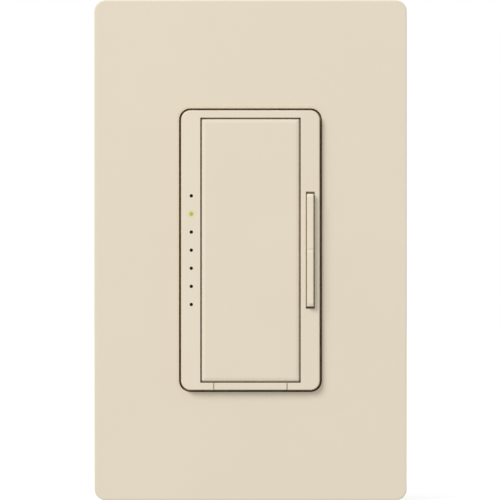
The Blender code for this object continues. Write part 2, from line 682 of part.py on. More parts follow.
def bezel_block():
    """The bezel's outside: side bars that fall back from the paddle, and a flange behind."""
    inside_flange = BEZEL_BACK - FLANGE_THICKNESS / 2
    made = plate(
        "bezel", BEZEL_WIDTH, 2 * BEZEL_HALF_HEIGHT, BEZEL_CORNER, BEZEL_FRONT, inside_flange
    )
    slope = BEZEL_FALL / SIDE_BAR
    reach = BEZEL_HALF_WIDTH + PAST
    low = BEZEL_FRONT + BEZEL_FALL + slope * PAST
    profile = (
        (-reach, BEZEL_BACK + PAST),
        (-reach, low),
        (-WINDOW_HALF_WIDTH, BEZEL_FRONT),
        (WINDOW_HALF_WIDTH, BEZEL_FRONT),
        (reach, low),
        (reach, BEZEL_BACK + PAST),
    )
    tall = BEZEL_HALF_HEIGHT + PAST
    envelope = prism("bezel_envelope", profile, "Z", -tall, tall)
    add_boolean(made, envelope, "INTERSECT")
    edges = made.modifiers.new("edges", "BEVEL")
    edges.width = BEZEL_EDGE_ROUND
    edges.segments = EDGE_STEPS
    edges.limit_method = "ANGLE"
    edges.angle_limit = ROUNDED_ABOVE
    flange = plate(
        "bezel_flange",
        BEZEL_WIDTH + 2 * FLANGE_REACH,
        2 * (BEZEL_HALF_HEIGHT + FLANGE_REACH),
        BEZEL_CORNER + FLANGE_REACH,
        BEZEL_BACK - FLANGE_THICKNESS,
        BEZEL_BACK,
    )
    fuse(made, flange)
    return made


def pivot_notch(made, name, across, place, radius):
    """A slot open to the back, with a round end that a pivot pin turns in."""
    y, z = place
    carve(made, rod(name, "X", place, radius, *across, sides=PIN_SIDES))
    carve(made, box(name + "_way", across, (y, BEZEL_BACK + PAST), around(z, radius)))


def add_snap_legs(made):
    """Four legs that reach back past the yoke, each with a hook behind it."""
    for side in (1, -1):
        inner = side * CAVITY_OUTER
        outer = side * BEZEL_HALF_WIDTH
        tip = side * (BEZEL_HALF_WIDTH + HOOK_REACH)
        root = BEZEL_BACK - BITE
        profile = (
            (inner, root),
            (outer, root),
            (outer, SEAT_GAP),
            (tip, SEAT_GAP),
            (tip, HOOK_BACK),
            (inner, HOOK_BACK),
        )
        for up in (1, -1):
            fuse(made, prism("bezel_leg", profile, "Z", *around(up * LEG_Z, LEG_WIDTH / 2)))


def make_bezel():
    """The frame round the paddle, hollow at the sides for the rocker and the light pipe."""
    made = bezel_block()
    behind = BEZEL_BACK + PAST
    window_z = (-WINDOW_HALF_HEIGHT, WINDOW_HALF_HEIGHT)
    window_x = (-WINDOW_HALF_WIDTH, WINDOW_HALF_WIDTH)
    carve(made, box("bezel_window", window_x, (BEZEL_FRONT - PAST, behind), window_z))
    for side in (1, -1):
        across = sorted((side * CAVITY_INNER, side * CAVITY_OUTER))
        carve(made, box("bezel_cavity", across, (CAVITY_FRONT, behind), window_z))
    slot_x = around(ROCKER_X, ROCKER_WIDTH / 2 + ROCKER_SIDE_GAP)
    slot_z = around(0, ROCKER_LENGTH / 2 + ROCKER_END_GAP)
    skin = (BEZEL_FRONT - PAST, CAVITY_FRONT + PAST)
    carve(made, box("rocker_slot", slot_x, skin, slot_z))
    for height in LIGHT_HEIGHTS:
        hole = LIGHT_TIP_RADIUS + LIGHT_HOLE_GAP
        carve(made, rod("light_hole", "Y", (LIGHT_X, height), hole, *skin, sides=PIN_SIDES))
    pin_radius = PADDLE_PIN_RADIUS + RUNNING_GAP
    pivot = (PADDLE_PIVOT_Y, PADDLE_PIVOT_Z)
    for side in (1, -1):
        across = sorted((side * (WINDOW_HALF_WIDTH - BITE), side * (CAVITY_INNER + BITE)))
        pivot_notch(made, "paddle_notch", across, pivot, pin_radius)
    across = (WINDOW_HALF_WIDTH - BITE, CAVITY_OUTER + ROCKER_PIN_REACH + RUNNING_GAP)
    pivot = (ROCKER_PIVOT_Y, 0)
    pivot_notch(made, "rocker_notch", across, pivot, ROCKER_PIN_RADIUS + RUNNING_GAP)
    room = PLUNGER_RADIUS + SEAT_GAP
    depth = (PLUNGER_FRONT - PLUNGER_STROKE - SEAT_GAP, behind)
    for up in (1, -1):
        span = around(up * ROCKER_ARM, room)
        carve(made, box("plunger_room", around(ROCKER_X, room), depth, span))
    tab_x = around(0, SERVICE_WIDTH / 2 + SERVICE_GAP)
    tab_z = (-BEZEL_HALF_HEIGHT - PAST, BITE - WINDOW_HALF_HEIGHT)
    carve(made, box("service_bay", tab_x, (BEZEL_FRONT - PAST, SERVICE_BACK + SEAT_GAP), tab_z))
    arm_x = around(0, SERVICE_ARM_WIDTH / 2 + SEAT_GAP)
    arm_z = (-BEZEL_HALF_HEIGHT - SERVICE_RELIEF, BITE - WINDOW_HALF_HEIGHT)
    carve(made, box("service_way", arm_x, (SERVICE_BACK, behind), arm_z))
    add_snap_legs(made)
    make_part(made, "bezel", ALMOND)


def make_paddle():
    """The tap button: a shallow tray on two pivot pins, with a post that presses its switch."""
    half_width = PADDLE_WIDTH / 2
    half_height = PADDLE_HEIGHT / 2
    back = BEZEL_FRONT + PADDLE_SKIRT_DEPTH
    made = box("paddle", around(0, half_width), (BEZEL_FRONT, back), around(0, half_height))
    round_edges(made, BEZEL_FRONT, PADDLE_EDGE_ROUND, EDGE_STEPS + 1)
    inside_x = around(0, half_width - PADDLE_SKIRT_WALL)
    inside_z = around(0, half_height - PADDLE_SKIRT_WALL)
    carve(made, box("paddle_hollow", inside_x, (PADDLE_INSIDE, back + PAST), inside_z))
    pivot = (PADDLE_PIVOT_Y, PADDLE_PIVOT_Z)
    for side in (1, -1):
        tip = side * (WINDOW_HALF_WIDTH + PADDLE_PIN_REACH)
        across = sorted((side * (half_width - BITE), tip))
        fuse(made, rod("paddle_pin", "X", pivot, PADDLE_PIN_RADIUS, *across, sides=PIN_SIDES))
    rib_y = (PADDLE_INSIDE - BITE, back - BITE)
    rib_x = around(0, half_width - PADDLE_SKIRT_WALL + BITE)
    above_spring = SPRING_Z + SPRING_RADIUS + SPRING_WIRE_RADIUS + PADDLE_RIB_CLEARANCE
    above_switch = (PADDLE_SWITCH_Z + PADDLE_PIVOT_Z) / 2
    for height in (above_spring, above_switch):
        fuse(made, box("paddle_rib", rib_x, rib_y, (height, height + PADDLE_RIB_WALL)))
    post = (PADDLE_INSIDE - BITE, PLUNGER_FRONT - CONTACT_GAP)
    fuse(made, rod("paddle_post", "Y", (0, PADDLE_SWITCH_Z), PADDLE_POST_RADIUS, *post))
    stub = (PADDLE_INSIDE - BITE, PADDLE_INSIDE + SPRING_STUB_LENGTH)
    fuse(made, rod("spring_stub", "Y", (0, SPRING_Z), SPRING_STUB_RADIUS, *stub))
    make_part(made, "tap_paddle", ALMOND, (0, *pivot))


def make_rocker():
    """The raise/lower bar, which tilts on a cross pin and has a leg over each of its switches."""
    front = BEZEL_FRONT - ROCKER_PROUD
    bar_x = around(ROCKER_X, ROCKER_WIDTH / 2)
    made = box("rocker", bar_x, (front, ROCKER_BACK), around(0, ROCKER_LENGTH / 2))
    round_edges(made, front, ROCKER_EDGE_ROUND)
    groove = (front + ROCKER_GROOVE_DEPTH - ROCKER_GROOVE_RADIUS, 0)
    reach = ROCKER_WIDTH / 2 + PAST
    ends = around(ROCKER_X, reach)
    sides = 2 * ROUND_SIDES
    carve(made, rod("rocker_groove", "X", groove, ROCKER_GROOVE_RADIUS, *ends, sides=sides))
    tips = (CAVITY_INNER - ROCKER_PIN_REACH, CAVITY_OUTER + ROCKER_PIN_REACH)
    pivot = (ROCKER_PIVOT_Y, 0)
    fuse(made, rod("rocker_pin", "X", pivot, ROCKER_PIN_RADIUS, *tips, sides=PIN_SIDES))
    leg = (ROCKER_BACK - BITE, PLUNGER_FRONT - CONTACT_GAP)
    for up in (1, -1):
        span = around(up * ROCKER_ARM, ROCKER_LEG_LENGTH / 2)
        leg_x = around(ROCKER_X, ROCKER_WIDTH / 2 - BITE / 4)
        fuse(made, box("rocker_leg", leg_x, leg, span))
    make_part(made, "dimming_rocker", ALMOND, (ROCKER_X, *pivot))


def make_service_switch():
    """The pull-out tab with the contact it carries, and the two contacts that it bridges."""
    tab_z = (-BEZEL_HALF_HEIGHT, -WINDOW_HALF_HEIGHT)
    tab_x = around(0, SERVICE_WIDTH / 2)
    made = box("service", tab_x, (BEZEL_FRONT, SERVICE_BACK), tab_z)
    round_edges(made, BEZEL_FRONT, SERVICE_EDGE_ROUND)
    arm_y = (SERVICE_BACK - BITE, BRIDGE_FRONT - CONTACT_GAP)
    fuse(made, box("service_arm", around(0, SERVICE_ARM_WIDTH / 2), arm_y, (ARM_BOTTOM, ARM_TOP)))
    middle = (0, SERVICE_BACK, (ARM_BOTTOM + ARM_TOP) / 2)
    make_part(made, "service_switch_tab", ALMOND, middle)

    bridge_half = SERVICE_ARM_WIDTH / 2 + BRIDGE_OVERHANG
    strip_y = (BRIDGE_FRONT, BRIDGE_FRONT + BRIDGE_THICKNESS)
    bridge = box("bridge", around(0, bridge_half), strip_y, (ARM_BOTTOM, BRIDGE_TOP))
    button_y = (strip_y[1] - BRIDGE_THICKNESS / 2, strip_y[1] + BRIDGE_BUTTON_HEIGHT)
    button_z = (ARM_BOTTOM + BRIDGE_TOP) / 2
    button_x = SERVICE_ARM_WIDTH / 2
    for side in (1, -1):
        place = (side * button_x, button_z)
        fuse(bridge, rod("bridge_button", "Y", place, BUTTON_RADIUS, *button_y, sides=PIN_SIDES))
    make_part(bridge, "bridge_contact", BRASS, (0, strip_y[0], button_z))

    blade_y = (FIXED_CONTACT_FRONT, FIXED_CONTACT_FRONT + CONTACT_THICKNESS)
    blade_low = SEAT_GAP - HOUSING_INSIDE_Z
    for name, side in (("line_contact", 1), ("load_contact", -1)):
        blade_x = around(side * button_x, CONTACT_WIDTH / 2)
        blade = box(name, blade_x, blade_y, (blade_low, blade_low + CONTACT_HEIGHT))
        make_part(blade, name, BRASS)


def make_light_pipe():
    """A rail behind the left side bar, with a tip for each hole and a rod back to each light."""
    half = PIPE_FOOT_Z + PIPE_FOOT_LENGTH / 2
    rail_x = around(LIGHT_X, PIPE_RAIL_WIDTH / 2)
    made = box("light_pipe", rail_x, (PIPE_RAIL_FRONT, PIPE_RAIL_BACK), (-half, half))
    face = BEZEL_FRONT + BEZEL_FALL * (-LIGHT_X - WINDOW_HALF_WIDTH) / SIDE_BAR
    tip_y = (face + LIGHT_TIP_RECESS, PIPE_RAIL_FRONT + BITE)
    rod_y = (PIPE_RAIL_BACK - BITE, LIGHT_FRONT - SEAT_GAP)
    for height in LIGHT_HEIGHTS:
        place = (LIGHT_X, height)
        fuse(made, rod("pipe_tip", "Y", place, LIGHT_TIP_RADIUS, *tip_y, sides=PIPE_SIDES))
        fuse(made, rod("pipe_rod", "Y", place, PIPE_ROD_RADIUS, *rod_y, sides=PIPE_SIDES))
    for up in (1, -1):
        span = around(up * PIPE_FOOT_Z, PIPE_FOOT_LENGTH / 2)
        foot_x = around(LIGHT_X, PIPE_RAIL_WIDTH / 2 - BITE / 4)
        fuse(made, box("pipe_foot", foot_x, (PIPE_RAIL_BACK - BITE, YOKE_FRONT - SEAT_GAP), span))
    make_part(made, "light_pipe", CLEAR_PLASTIC)


def make_lights():
    half = LIGHT_SIZE / 2
    depth = (LIGHT_FRONT, LIGHT_FRONT + LIGHT_HEIGHT)
    for number, height in enumerate(LIGHT_HEIGHTS, 1):
        name = f"level_light_{number}"
        chip = box(name, around(LIGHT_X, half), depth, around(height, half))
        make_part(chip, name, LIT_LIGHT if number == LIT_NUMBER else WHITE_PLASTIC)


def make_yoke():
    """The aluminium strap and heat sink, with windows for what passes through it."""
    main_height = 2 * (HOUSING_HALF_HEIGHT + YOKE_BEYOND_HOUSING)
    made = plate("yoke", YOKE_WIDTH, main_height, YOKE_CORNER, YOKE_FRONT, 0)
    fuse(made, plate("ears", EAR_WIDTH, 2 * YOKE_HALF_HEIGHT, YOKE_CORNER, YOKE_FRONT, 0))
    through = (YOKE_FRONT - PAST, PAST)
    slot_half = DEVICE_SCREW_RADIUS + RUNNING_GAP
    for up in (1, -1):
        slot_z = around(up * DEVICE_SCREW_Z, slot_half)
        slot_x = around(0, slot_half + DEVICE_SLOT_PLAY)
        carve(made, box("device_slot", slot_x, through, slot_z))
        hole = PLATE_SCREW_RADIUS + THREAD_GAP
        carve(made, rod("plate_screw_hole", "Y", (0, up * PLATE_SCREW_Z), hole, *through))
    for _, x, z in SWITCHES:
        half = SWITCH_SIZE / 2 + SWITCH_WINDOW_GAP
        carve(made, box("switch_window", around(x, half), through, around(z, half)))
    light_x = around(LIGHT_X, PIPE_ROD_RADIUS + PIPE_SLOT_GAP)
    carve(made, box("light_slot", light_x, through, around(0, LIGHT_SLOT_HALF)))
    arm_x = around(0, SERVICE_ARM_WIDTH / 2 + SEAT_GAP)
    carve(made, box("arm_slot", arm_x, through, (ARM_BOTTOM - SEAT_GAP, ARM_TOP + SEAT_GAP)))
    for side in (1, -1):
        leg = sorted((side * (CAVITY_OUTER - LEG_FLEX), side * (BEZEL_HALF_WIDTH + SEAT_GAP)))
        for up in (1, -1):
            span = around(up * LEG_Z, LEG_WIDTH / 2 + SEAT_GAP)
            carve(made, box("leg_slot", leg, through, span))
            place = (side * POST_X, up * POST_Z)
            hole = HOUSING_SCREW_RADIUS + THREAD_GAP
            carve(made, rod("housing_screw_hole", "Y", place, hole, *through, sides=PIN_SIDES))
    rivet = (0, triac_rivet_height())
    carve(made, rod("rivet_hole", "Y", rivet, RIVET_RADIUS + THREAD_GAP, *through))
    ground = (GROUND_X, -DEVICE_SCREW_Z)
    carve(made, rod("ground_hole", "Y", ground, GROUND_SCREW_RADIUS + THREAD_GAP, *through))
    make_part(made, "yoke", ALUMINIUM)


def make_yoke_screws():
    """The two screws into the wall box with their washers, and the ground screw."""
    washer_y = (SEAT_GAP, SEAT_GAP + WASHER_THICKNESS)
    for word, up in (("upper", 1), ("lower", -1)):
        height = up * DEVICE_SCREW_Z
        screw(
            "device_screw_" + word,
            (0, YOKE_FRONT - CONTACT_GAP, height),
            FRONT,
            (DEVICE_HEAD_RADIUS, DEVICE_HEAD_HEIGHT),
            DEVICE_SCREW_RADIUS,
            DEVICE_SCREW_LENGTH,
            STEEL,
        )
        half = WASHER_SIZE / 2
        washer = box("screw_washer", around(0, half), washer_y, around(height, half))
        hole = DEVICE_SCREW_RADIUS + THREAD_GAP
        cut_y = (washer_y[0] - PAST, washer_y[1] + PAST)
        carve(washer, rod("washer_hole", "Y", (0, height), hole, *cut_y))
        make_part(washer, "screw_washer_" + word, FIBRE)
    screw(
        "ground_screw",
        (GROUND_X, CONTACT_GAP, -DEVICE_SCREW_Z),
        BACK,
        (GROUND_HEAD_RADIUS, GROUND_HEAD_HEIGHT),
        GROUND_SCREW_RADIUS,
        YOKE_THICKNESS,
        GREEN_SCREW,
    )


def add_posts(made):
    """Four posts in the housing: a step carries the board, and a screw runs down each."""
    floor = HOUSING_BACK - HOUSING_WALL
    for side in (1, -1):
        for up in (1, -1):
            place = (side * POST_X, up * POST_Z)
            top = (SEAT_GAP, PARTS_FRONT + BITE)
            fuse(made, rod("post_top", "Y", place, POST_TOP_RADIUS, *top))
            fuse(made, rod("post", "Y", place, POST_RADIUS, PARTS_FRONT, floor + BITE))
    for side in (1, -1):
        for up in (1, -1):
            place = (side * POST_X, up * POST_Z)
            hole = HOUSING_SCREW_RADIUS + THREAD_GAP
            carve(made, rod("post_hole", "Y", place, hole, -PAST, HOUSING_BACK + PAST, sides=PIN_SIDES))
            sink = (HOUSING_BACK - 2 * HOUSING_HEAD_HEIGHT, HOUSING_BACK + PAST)
            carve(made, rod("post_sink", "Y", place, HOUSING_HEAD_RADIUS + SEAT_GAP, *sink))


def make_housing():
    """The back housing: an open tray with screw posts, terminal windows and wire holes."""
    made = plate(
        "housing",
        HOUSING_WIDTH,
        2 * HOUSING_HALF_HEIGHT,
        HOUSING_CORNER,
        SEAT_GAP,
        HOUSING_BACK,
    )
    round_edges(made, HOUSING_BACK, HOUSING_EDGE_ROUND)
    floor = HOUSING_BACK - HOUSING_WALL
    hollow = plate(
        "housing_hollow",
        2 * HOUSING_INSIDE_X,
        2 * HOUSING_INSIDE_Z,
        max(HOUSING_CORNER - HOUSING_WALL, HOUSING_CORNER / 4),
        SEAT_GAP - PAST,
        floor,
    )
    carve(made, hollow)
    rib_x = around(0, SERVICE_ARM_WIDTH / 2 + CONTACT_WIDTH)
    rib_y = (CONTACT_RIB_FRONT, CONTACT_RIB_FRONT + CONTACT_RIB_WALL)
    rib_z = (-HOUSING_INSIDE_Z - BITE, CONTACT_HEIGHT - HOUSING_INSIDE_Z)
    fuse(made, box("contact_rib", rib_x, rib_y, rib_z))
    add_posts(made)
    window = TERMINAL_HEAD_RADIUS + TERMINAL_WINDOW_GAP
    for side, height in TERMINALS:
        wall = sorted((side * (HOUSING_INSIDE_X - PAST), side * (HOUSING_WIDTH / 2 + PAST)))
        span_y = around(TERMINAL_Y, window)
        carve(made, box("terminal_window", wall, span_y, around(height, window)))
        wire_x = side * (HOUSING_INSIDE_X - TERMINAL_HEAD_RADIUS)
        for up in (1, -1):
            place = (wire_x, height + up * WIRE_HOLE_SPREAD)
            ends = (floor - PAST, HOUSING_BACK + PAST)
            carve(made, rod("wire_hole", "Y", place, WIRE_HOLE_RADIUS, *ends, sides=PIN_SIDES))
    make_part(made, "back_housing", BLACK_PLASTIC)
    number = 0
    head_under = HOUSING_BACK - 2 * HOUSING_HEAD_HEIGHT + CONTACT_GAP
    for side in (1, -1):
        for up in (1, -1):
            number += 1
            screw(
                f"housing_screw_{number}",
                (side * POST_X, head_under, up * POST_Z),
                BACK,
                (HOUSING_HEAD_RADIUS, HOUSING_HEAD_HEIGHT),
                HOUSING_SCREW_RADIUS,
                head_under + YOKE_THICKNESS,
                STEEL,
            )


def make_terminals():
    """Each terminal: a brass plate behind its window and a screw whose head fills the window."""
    half = TERMINAL_HEAD_RADIUS + TERMINAL_WINDOW_GAP + TERMINAL_MARGIN
    for number, (side, height) in enumerate(TERMINALS, 1):
        outer = side * (HOUSING_INSIDE_X - SEAT_GAP)
        inner = outer - side * TERMINAL_PLATE_THICKNESS
        across = sorted((outer, inner))
        name = f"terminal_plate_{number}"
        made = box(name, across, around(TERMINAL_Y, half), around(height, half))
        place = (TERMINAL_Y, height)
        ends = (across[0] - PAST, across[1] + PAST)
        carve(made, rod("terminal_hole", "X", place, TERMINAL_SCREW_RADIUS + THREAD_GAP, *ends))
        make_part(made, name, BRASS)
        screw(
            f"terminal_screw_{number}",
            (outer + side * CONTACT_GAP, TERMINAL_Y, height),
            Vector((side, 0, 0)),
            (TERMINAL_HEAD_RADIUS, TERMINAL_HEAD_HEIGHT),
            TERMINAL_SCREW_RADIUS,
            TERMINAL_SCREW_LENGTH,
            BRASS,
        )


def triac_top():
    return BOARD_TOP - TRIAC_FROM_TOP


def triac_rivet_height():
    return triac_top() - TRIAC_TAB_LENGTH / 2


def make_triac():
    """The power switch riveted flat to the yoke, with its pad and its rivet."""
    pad_y = (CONTACT_GAP, CONTACT_GAP + PAD_THICKNESS)
    tab_front = pad_y[1] + CONTACT_GAP
    top = triac_top()
    body_top = top - TRIAC_TAB_LENGTH
    bottom = body_top - TRIAC_BODY_LENGTH
    across = around(0, TRIAC_WIDTH / 2)
    tab_y = (tab_front, tab_front + TRIAC_TAB_THICKNESS)
    made = box("triac", across, tab_y, (body_top - BITE, top))
    body_y = (tab_front, tab_front + TRIAC_BODY_THICKNESS)
    fuse(made, box("triac_body", around(0, TRIAC_WIDTH / 2 - BITE / 4), body_y, (bottom, body_top)))
    lead_y = around((BOARD_FRONT + BOARD_BACK) / 2, TRIAC_LEAD_THICKNESS / 2)
    lead_z = (bottom - TRIAC_LEAD_LENGTH, bottom + BITE)
    for place in (-1, 0, 1):
        lead_x = around(place * TRIAC_LEAD_PITCH, TRIAC_LEAD_WIDTH / 2)
        fuse(made, box("triac_lead", lead_x, lead_y, lead_z))
    rivet = (0, triac_rivet_height())
    hole = RIVET_RADIUS + THREAD_GAP
    far = (-PAST, tab_y[1] + PAST)
    carve(made, rod("triac_hole", "Y", rivet, hole, *far))
    make_part(made, "triac", BLACK_PLASTIC)
    pad = box("thermal_pad", across, pad_y, (bottom, top))
    carve(pad, rod("pad_hole", "Y", rivet, hole, *far))
    make_part(pad, "thermal_pad", THERMAL_GREY)
    front = -YOKE_FRONT + CONTACT_GAP
    back = tab_y[1] + CONTACT_GAP
    profile = (
        (0, front + RIVET_HEAD_HEIGHT),
        (RIVET_HEAD_RADIUS * HEAD_TOP_SHARE, front + RIVET_HEAD_HEIGHT),
        (RIVET_HEAD_RADIUS, front),
        (RIVET_RADIUS, front),
        (RIVET_RADIUS, -back),
        (RIVET_HEAD_RADIUS, -back),
        (RIVET_HEAD_RADIUS * HEAD_TOP_SHARE, -back - RIVET_HEAD_HEIGHT),
        (0, -back - RIVET_HEAD_HEIGHT),
    )
    made = turned("rivet", profile, (0, 0, rivet[1]), FRONT)
    make_part(made, "triac_rivet", ALUMINIUM)


def make_board():
    """The circuit board, with its corners cut for the posts and a notch for the triac."""
    across = around(0, BOARD_HALF_WIDTH)
    made = box("board", across, (BOARD_FRONT, BOARD_BACK), (BOARD_BOTTOM, BOARD_TOP))
    through = (BOARD_FRONT - PAST, BOARD_BACK + PAST)
    inner_x = POST_X - POST_TOP_RADIUS - SEAT_GAP
    inner_z = POST_Z - POST_TOP_RADIUS - SEAT_GAP
    for side in (1, -1):
        corner_x = sorted((side * inner_x, side * (BOARD_HALF_WIDTH + PAST)))
        for up in (1, -1):
            corner_z = sorted((up * inner_z, up * (BOARD_TOP + PAST)))
            carve(made, box("board_corner", corner_x, through, corner_z))
    notch_low = triac_top() - TRIAC_TAB_LENGTH - TRIAC_BODY_LENGTH
    notch_low -= TRIAC_LEAD_LENGTH + SEAT_GAP
    notch_x = around(0, TRIAC_WIDTH / 2 + TRIAC_NOTCH_GAP)
    carve(made, box("triac_notch", notch_x, through, (notch_low, BOARD_TOP + PAST)))
    make_part(made, "control_board", BOARD_GREEN)


def make_switches():
    """Tactile switches: a body with a well, and the plunger that moves in it."""
    half = SWITCH_SIZE / 2
    plunger_back = PLUNGER_FRONT + PLUNGER_LENGTH
    for name, x, z in SWITCHES:
        body = box(name, around(x, half), (SWITCH_FRONT, SWITCH_BACK), around(z, half))
        well = (SWITCH_FRONT - PAST, plunger_back + PLUNGER_STROKE)
        carve(body, rod("switch_well", "Y", (x, z), PLUNGER_RADIUS + RUNNING_GAP, *well))
        make_part(body, name + "_body", BLACK_PLASTIC)
        plunger = rod("plunger", "Y", (x, z), PLUNGER_RADIUS, PLUNGER_FRONT, plunger_back)
        make_part(plunger, name + "_plunger", WHITE_PLASTIC, (x, PLUNGER_FRONT, z))


def make_board_parts():
    chip_z = BOARD_BOTTOM + CHIP_FROM_BOTTOM
    chip_y = (SWITCH_BACK - CHIP_HEIGHT, SWITCH_BACK)
    half = CHIP_SIZE / 2
    chip = box("chip", around(CHIP_FROM_MIDDLE, half), chip_y, around(chip_z, half))
    make_part(chip, "controller_chip", BLACK_PLASTIC)
    film_x = around(BOARD_EDGE + FILM_WIDTH / 2 - BOARD_HALF_WIDTH, FILM_WIDTH / 2)
    film_y = (PARTS_FRONT, PARTS_FRONT + FILM_HEIGHT)
    film = box("film", film_x, film_y, around(-FILM_DROP, FILM_LENGTH / 2))
    make_part(film, "film_capacitor", CAPACITOR_BLUE)
    bulk = (BOARD_HALF_WIDTH - BOARD_EDGE - BULK_RADIUS, BOARD_TOP - BULK_FROM_TOP)
    can = rod("bulk", "Y", bulk, BULK_RADIUS, PARTS_FRONT, PARTS_FRONT + BULK_HEIGHT)
    make_part(can, "bulk_capacitor", BLACK_PLASTIC)
    disc_x = BOARD_EDGE - BOARD_HALF_WIDTH
    disc = (PARTS_FRONT + VARISTOR_RADIUS, BOARD_TOP - BULK_FROM_TOP)
    ends = (disc_x, disc_x + VARISTOR_THICKNESS)
    varistor = rod("varistor", "X", disc, VARISTOR_RADIUS, *ends)
    make_part(varistor, "varistor", CAPACITOR_BLUE)


def tube(name, points, radius):
    """A round wire through the given points."""
    curve = bpy.data.curves.new(name, "CURVE")
    curve.dimensions = "3D"
    curve.bevel_depth = radius
    curve.bevel_resolution = WIRE_BEVEL_STEPS
    curve.use_fill_caps = True
    spline = curve.splines.new("POLY")
    spline.points.add(len(points) - 1)
    for point, place in zip(spline.points, points):
        point.co = (*place, 1)
    made = bpy.data.objects.new(name, curve)
    CUTTERS.objects.link(made)
    return made


def least_gap(points, radius, apart):
    """The narrowest space between stretches of one wire that are at least so many points apart."""
    gaps = [
        (first - second).length
        for place, first in enumerate(points)
        for second in points[place + apart:]
    ]
    return min(gaps) - 2 * radius


def make_spring():
    """The coil spring between the paddle and the yoke."""
    start = PADDLE_INSIDE + SEAT_GAP + SPRING_WIRE_RADIUS
    length = YOKE_FRONT - SEAT_GAP - SPRING_WIRE_RADIUS - start
    count = SPRING_CURLS * SPRING_POINTS_A_CURL
    points = []
    for step in range(count + 1):
        angle = 2 * math.pi * step / SPRING_POINTS_A_CURL
        points.append(
            Vector(
                (
                    SPRING_RADIUS * math.cos(angle),
                    start + length * step / count,
                    SPRING_Z + SPRING_RADIUS * math.sin(angle),
                )
            )
        )
    gap = least_gap(points, SPRING_WIRE_RADIUS, SPRING_POINTS_A_CURL // 2)
    print(f"paddle_spring: least gap to itself {gap * 1000:.2f} mm")
    make_part(tube("spring", points, SPRING_WIRE_RADIUS), "paddle_spring", STEEL)


def make_choke():
    """A ring core with one winding round it, on the back of the board."""
    loop = CHOKE_CORE_RADIUS + CHOKE_WIRE_GAP + CHOKE_WIRE_RADIUS
    thickness = loop + CHOKE_WIRE_RADIUS
    outer = CHOKE_RING_RADIUS + thickness
    centre = Vector((BOARD_HALF_WIDTH - BOARD_EDGE - outer, PARTS_FRONT + thickness, 0))
    bpy.ops.mesh.primitive_torus_add(
        major_radius=CHOKE_RING_RADIUS,
        minor_radius=CHOKE_CORE_RADIUS,
        major_segments=CHOKE_RING_SIDES,
        minor_segments=CHOKE_CORE_SIDES,
        location=centre,
        rotation=(math.pi / 2, 0, 0),
    )
    core = bpy.context.object
    for home in list(core.users_collection):
        home.objects.unlink(core)
    CUTTERS.objects.link(core)
    core.data.shade_smooth()
    make_part(core, "choke_core", FERRITE)
    count = CHOKE_TURNS * CHOKE_POINTS_A_TURN
    points = []
    for step in range(count + 1):
        round_ring = math.radians(CHOKE_SWEEP) * step / count
        round_core = 2 * math.pi * step / CHOKE_POINTS_A_TURN
        reach = CHOKE_RING_RADIUS + loop * math.cos(round_core)
        offset = (reach * math.cos(round_ring), loop * math.sin(round_core), reach * math.sin(round_ring))
        points.append(centre + Vector(offset))
    gap = least_gap(points, CHOKE_WIRE_RADIUS, CHOKE_POINTS_A_TURN // 2)
    print(f"choke_winding: least gap to itself {gap * 1000:.2f} mm")
    make_part(tube("winding", points, CHOKE_WIRE_RADIUS), "choke_winding", COPPER)


make_wallplate()
make_adapter()
make_bezel()
make_paddle()
make_rocker()
make_service_switch()
make_light_pipe()
make_lights()
make_yoke()
make_yoke_screws()
make_housing()
make_terminals()
make_triac()
make_board()
make_switches()
make_board_parts()
make_spring()
make_choke()
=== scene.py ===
"""Looks of the wall-box tap dimmer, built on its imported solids.

Shapes are drawn in millimetres and become metres when they are finished. X runs to the right,
Y into the wall and Z up, so the controls lie at negative Y and the housing at positive Y.
"""

import json
import math
from collections import namedtuple

import bmesh
import bpy
from mathutils import Matrix, Vector


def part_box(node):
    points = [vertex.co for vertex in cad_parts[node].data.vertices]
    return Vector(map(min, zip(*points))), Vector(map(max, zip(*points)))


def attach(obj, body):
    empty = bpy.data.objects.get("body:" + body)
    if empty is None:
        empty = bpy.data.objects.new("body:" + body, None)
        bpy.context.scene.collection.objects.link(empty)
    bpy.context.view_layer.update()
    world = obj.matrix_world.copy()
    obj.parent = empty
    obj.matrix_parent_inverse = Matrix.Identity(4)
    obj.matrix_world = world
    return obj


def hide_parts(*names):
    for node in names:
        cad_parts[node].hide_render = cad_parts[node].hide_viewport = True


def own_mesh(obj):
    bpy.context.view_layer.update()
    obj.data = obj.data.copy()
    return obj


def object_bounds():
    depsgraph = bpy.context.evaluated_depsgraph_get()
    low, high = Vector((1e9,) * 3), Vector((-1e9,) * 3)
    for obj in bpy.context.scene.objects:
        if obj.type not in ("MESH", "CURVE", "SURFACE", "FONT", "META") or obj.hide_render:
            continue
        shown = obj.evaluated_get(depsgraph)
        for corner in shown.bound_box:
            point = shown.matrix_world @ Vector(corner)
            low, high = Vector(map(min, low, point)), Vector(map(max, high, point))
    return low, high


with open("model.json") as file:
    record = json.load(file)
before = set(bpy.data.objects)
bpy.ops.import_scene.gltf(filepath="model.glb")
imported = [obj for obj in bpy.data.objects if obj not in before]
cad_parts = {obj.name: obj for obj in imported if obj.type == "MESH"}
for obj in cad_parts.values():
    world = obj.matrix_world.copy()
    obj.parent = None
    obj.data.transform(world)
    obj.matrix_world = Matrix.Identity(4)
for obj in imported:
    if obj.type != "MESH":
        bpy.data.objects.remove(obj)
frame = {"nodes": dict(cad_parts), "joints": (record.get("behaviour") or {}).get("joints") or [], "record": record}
cad_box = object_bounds()
scene = bpy.context.scene
MM = 0.001
MICRON = 0.000001
Point = namedtuple("Point", "x y z")
ScrewKind = namedtuple("ScrewKind", "head radius pitch sides slot")


# Reading the frame

def millimetres(place):
    """A place of the frame as a point, rounded to a ten-thousandth of a millimetre."""
    return Point(*(round(value / MM, 4) for value in place))


def corners(node_name):
    """A solid's lowest and highest corner."""
    return [millimetres(corner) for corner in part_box(node_name)]


